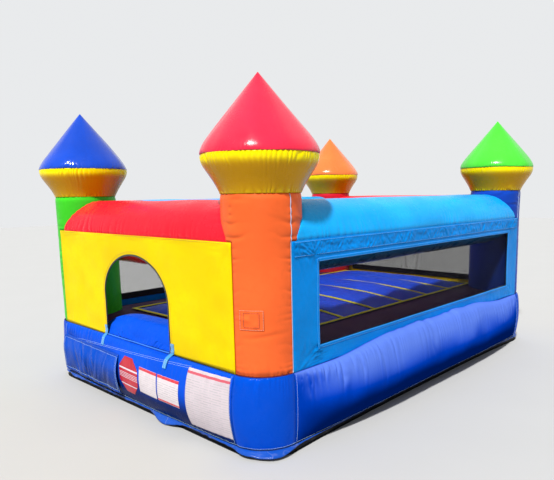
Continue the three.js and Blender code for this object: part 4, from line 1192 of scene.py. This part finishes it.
def column_patch():
    """The patch sewn on the front right column, with a row of stitches near its edge and one inside it."""
    low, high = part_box("column_patch")
    middle_angle = math.atan2(middle("column_patch", 1) + COLUMN_Y, middle("column_patch", 0) - COLUMN_X)
    centre, tall = (low.z + high.z) / 2, (high.z - low.z) / 2

    def place(u, z, lift):
        angle = middle_angle + u * PATCH_HALF / COLUMN_RADIUS
        return on_round(FRONT, angle, column_radius(FRONT, angle, z) + lift, z)

    u, z = np.linspace(-1, 1, 40)[:, None], np.linspace(low.z, high.z, 34)
    bow = 0.0022 + 0.0022 * (1 - u ** 4) * (1 - ((z - centre) / tall) ** 4)
    bow = bow + 0.0015 * noise(161, u * 3, z * 30)
    cloth_piece("sewn_patch", place(u, z, bow), COLUMNS["front_right"][0], 0.0012, replaces=["column_patch"])
    normal = np.array([math.cos(middle_angle), math.sin(middle_angle), 0.0])
    rows = (("sewn_patch_stitching", 0.93, 0.93, ORANGE_THREAD),
            ("sewn_patch_inner_stitching", 0.62, 0.70, RUST_THREAD))
    for name, wide, high_share, finish in rows:
        z, u = rectangle(centre - high_share * tall, -wide, centre + high_share * tall, wide, (14, 12))
        stitching(name, [(place(u, z, 0.0052), normal)], finish, 0.0020)


def inflation_sleeve():
    """The blower's sleeve: thin cloth with a strap round it near its mouth."""
    low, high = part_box("inflation_sleeve")
    centre_x, centre_z = (low.x + high.x) / 2, (low.z + high.z) / 2
    radius = (high.x - low.x) / 2
    angle = np.linspace(-np.pi, np.pi, 160, endpoint=False)[:, None]
    y = steps(low.y, high.y, 0.006)
    share = (y - low.y) / (high.y - low.y)
    strap_at = 0.74
    reach = radius * (1 - 0.10 * np.exp(-((share - strap_at) / 0.06) ** 2)) - 0.004
    reach = reach + gathers(angle * radius, (share - strap_at) * 0.4, 0.045, 0.10, 0.016, 181)
    reach = reach + gathers(angle * radius, (share - 0.08) * 0.4, 0.055, 0.07, 0.012, 185)
    reach = reach + 0.004 * noise(187, 2 * np.cos(angle), 2 * np.sin(angle), y * 12)
    reach = np.minimum(reach, radius + 0.006)
    points = at(centre_x + reach * np.cos(angle), y, centre_z + reach * np.sin(angle))
    cloth_piece("blower_sleeve", points[::-1], SLEEVE_BLUE, TRIM_CLOTH, round_u=True,
                replaces=["inflation_sleeve"])
    turn = np.linspace(0, 2 * np.pi, 72, endpoint=False)
    outward = at(np.cos(turn), 0.0, np.sin(turn))
    path = (centre_x, lerp(low.y, high.y, strap_at), centre_z) + 0.905 * radius * outward
    sweep("sleeve_strap", path, outward, rounded_band(0.013, 0.0024), WEBBING_BLUE, closed=True)


# ---- build

for side in SIDES:
    base(side)
    column(side)
    turret(side)
    beam(side)
    beam_seams(side)
for side in SIDES[1:]:
    window_wall(side)
for make in (door_wall, column_patch, zip_flap, zip_tape, patches, door_tabs, sill_piping, base_trim,
             inflation_sleeve, jump_bed, base_rim, door_step):
    make()

# ---- the CAD nodes that stay get a better material

KEPT = {"ground_sheet": BLACK_VINYL[0], "zip_slider": STEEL, "anchor_ring": STEEL,
        "anchor_loop": STRAP_BLUE[0], "bed_baffle": BLUE[0]}
for name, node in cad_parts.items():
    for start, material in KEPT.items():
        if name.startswith(start):
            node.data.materials.clear()
            node.data.materials.append(material)

# ---- studio

FLOOR_SIZE = 60
SUN_FROM = Vector((0.26, -0.57, 0.78))
BACKDROP = (-0.68, 0.73, 0.0)  # the direction in which the backdrop is brightest


def make_floor():
    net = Net("floor")
    tone = net.mix(net.noise(net.place, 1.5, 3.0), (0.50, 0.505, 0.51, 1), (0.52, 0.525, 0.53, 1))
    shader = net.principled({"Base Color": tone, "Roughness": 0.85, "Specular IOR Level": 0.1})
    half = FLOOR_SIZE / 2
    mesh = bpy.data.meshes.new("floor")
    corners = [(-half, -half, 0), (half, -half, 0), (half, half, 0), (-half, half, 0)]
    mesh.from_pydata(corners, [], [(0, 1, 2, 3)])
    mesh.materials.append(net.finish(shader))
    floor = bpy.data.objects.new("floor", mesh)
    bpy.context.scene.collection.objects.link(floor)


def make_light():
    world = bpy.data.worlds.new("studio")
    bpy.context.scene.world = world
    world.use_nodes = True
    nodes, links = world.node_tree.nodes, world.node_tree.links
    background = nodes["Background"]
    background.inputs["Color"].default_value = (0.97, 0.985, 1.0, 1)
    across = nodes.new("ShaderNodeVectorMath")
    across.operation = "DOT_PRODUCT"
    across.inputs[1].default_value = BACKDROP
    fade = nodes.new("ShaderNodeMapRange")
    fade.interpolation_type = "SMOOTHSTEP"
    for socket, value in zip(("From Min", "From Max", "To Min", "To Max"), (-0.2, 0.6, 0.34, 0.84)):
        fade.inputs[socket].default_value = value
    links.new(nodes.new("ShaderNodeTexCoord").outputs["Generated"], across.inputs[0])
    links.new(across.outputs["Value"], fade.inputs["Value"])
    links.new(fade.outputs["Result"], background.inputs["Strength"])
    data = bpy.data.lights.new("key", "SUN")
    data.energy, data.angle, data.color = 4.4, math.radians(4), (1.0, 0.98, 0.94)
    key = bpy.data.objects.new("key", data)
    key.rotation_euler = SUN_FROM.to_track_quat("Z", "Y").to_euler()
    bpy.context.scene.collection.objects.link(key)
    bpy.context.scene.view_settings.view_transform = "Standard"


make_floor()
make_light()
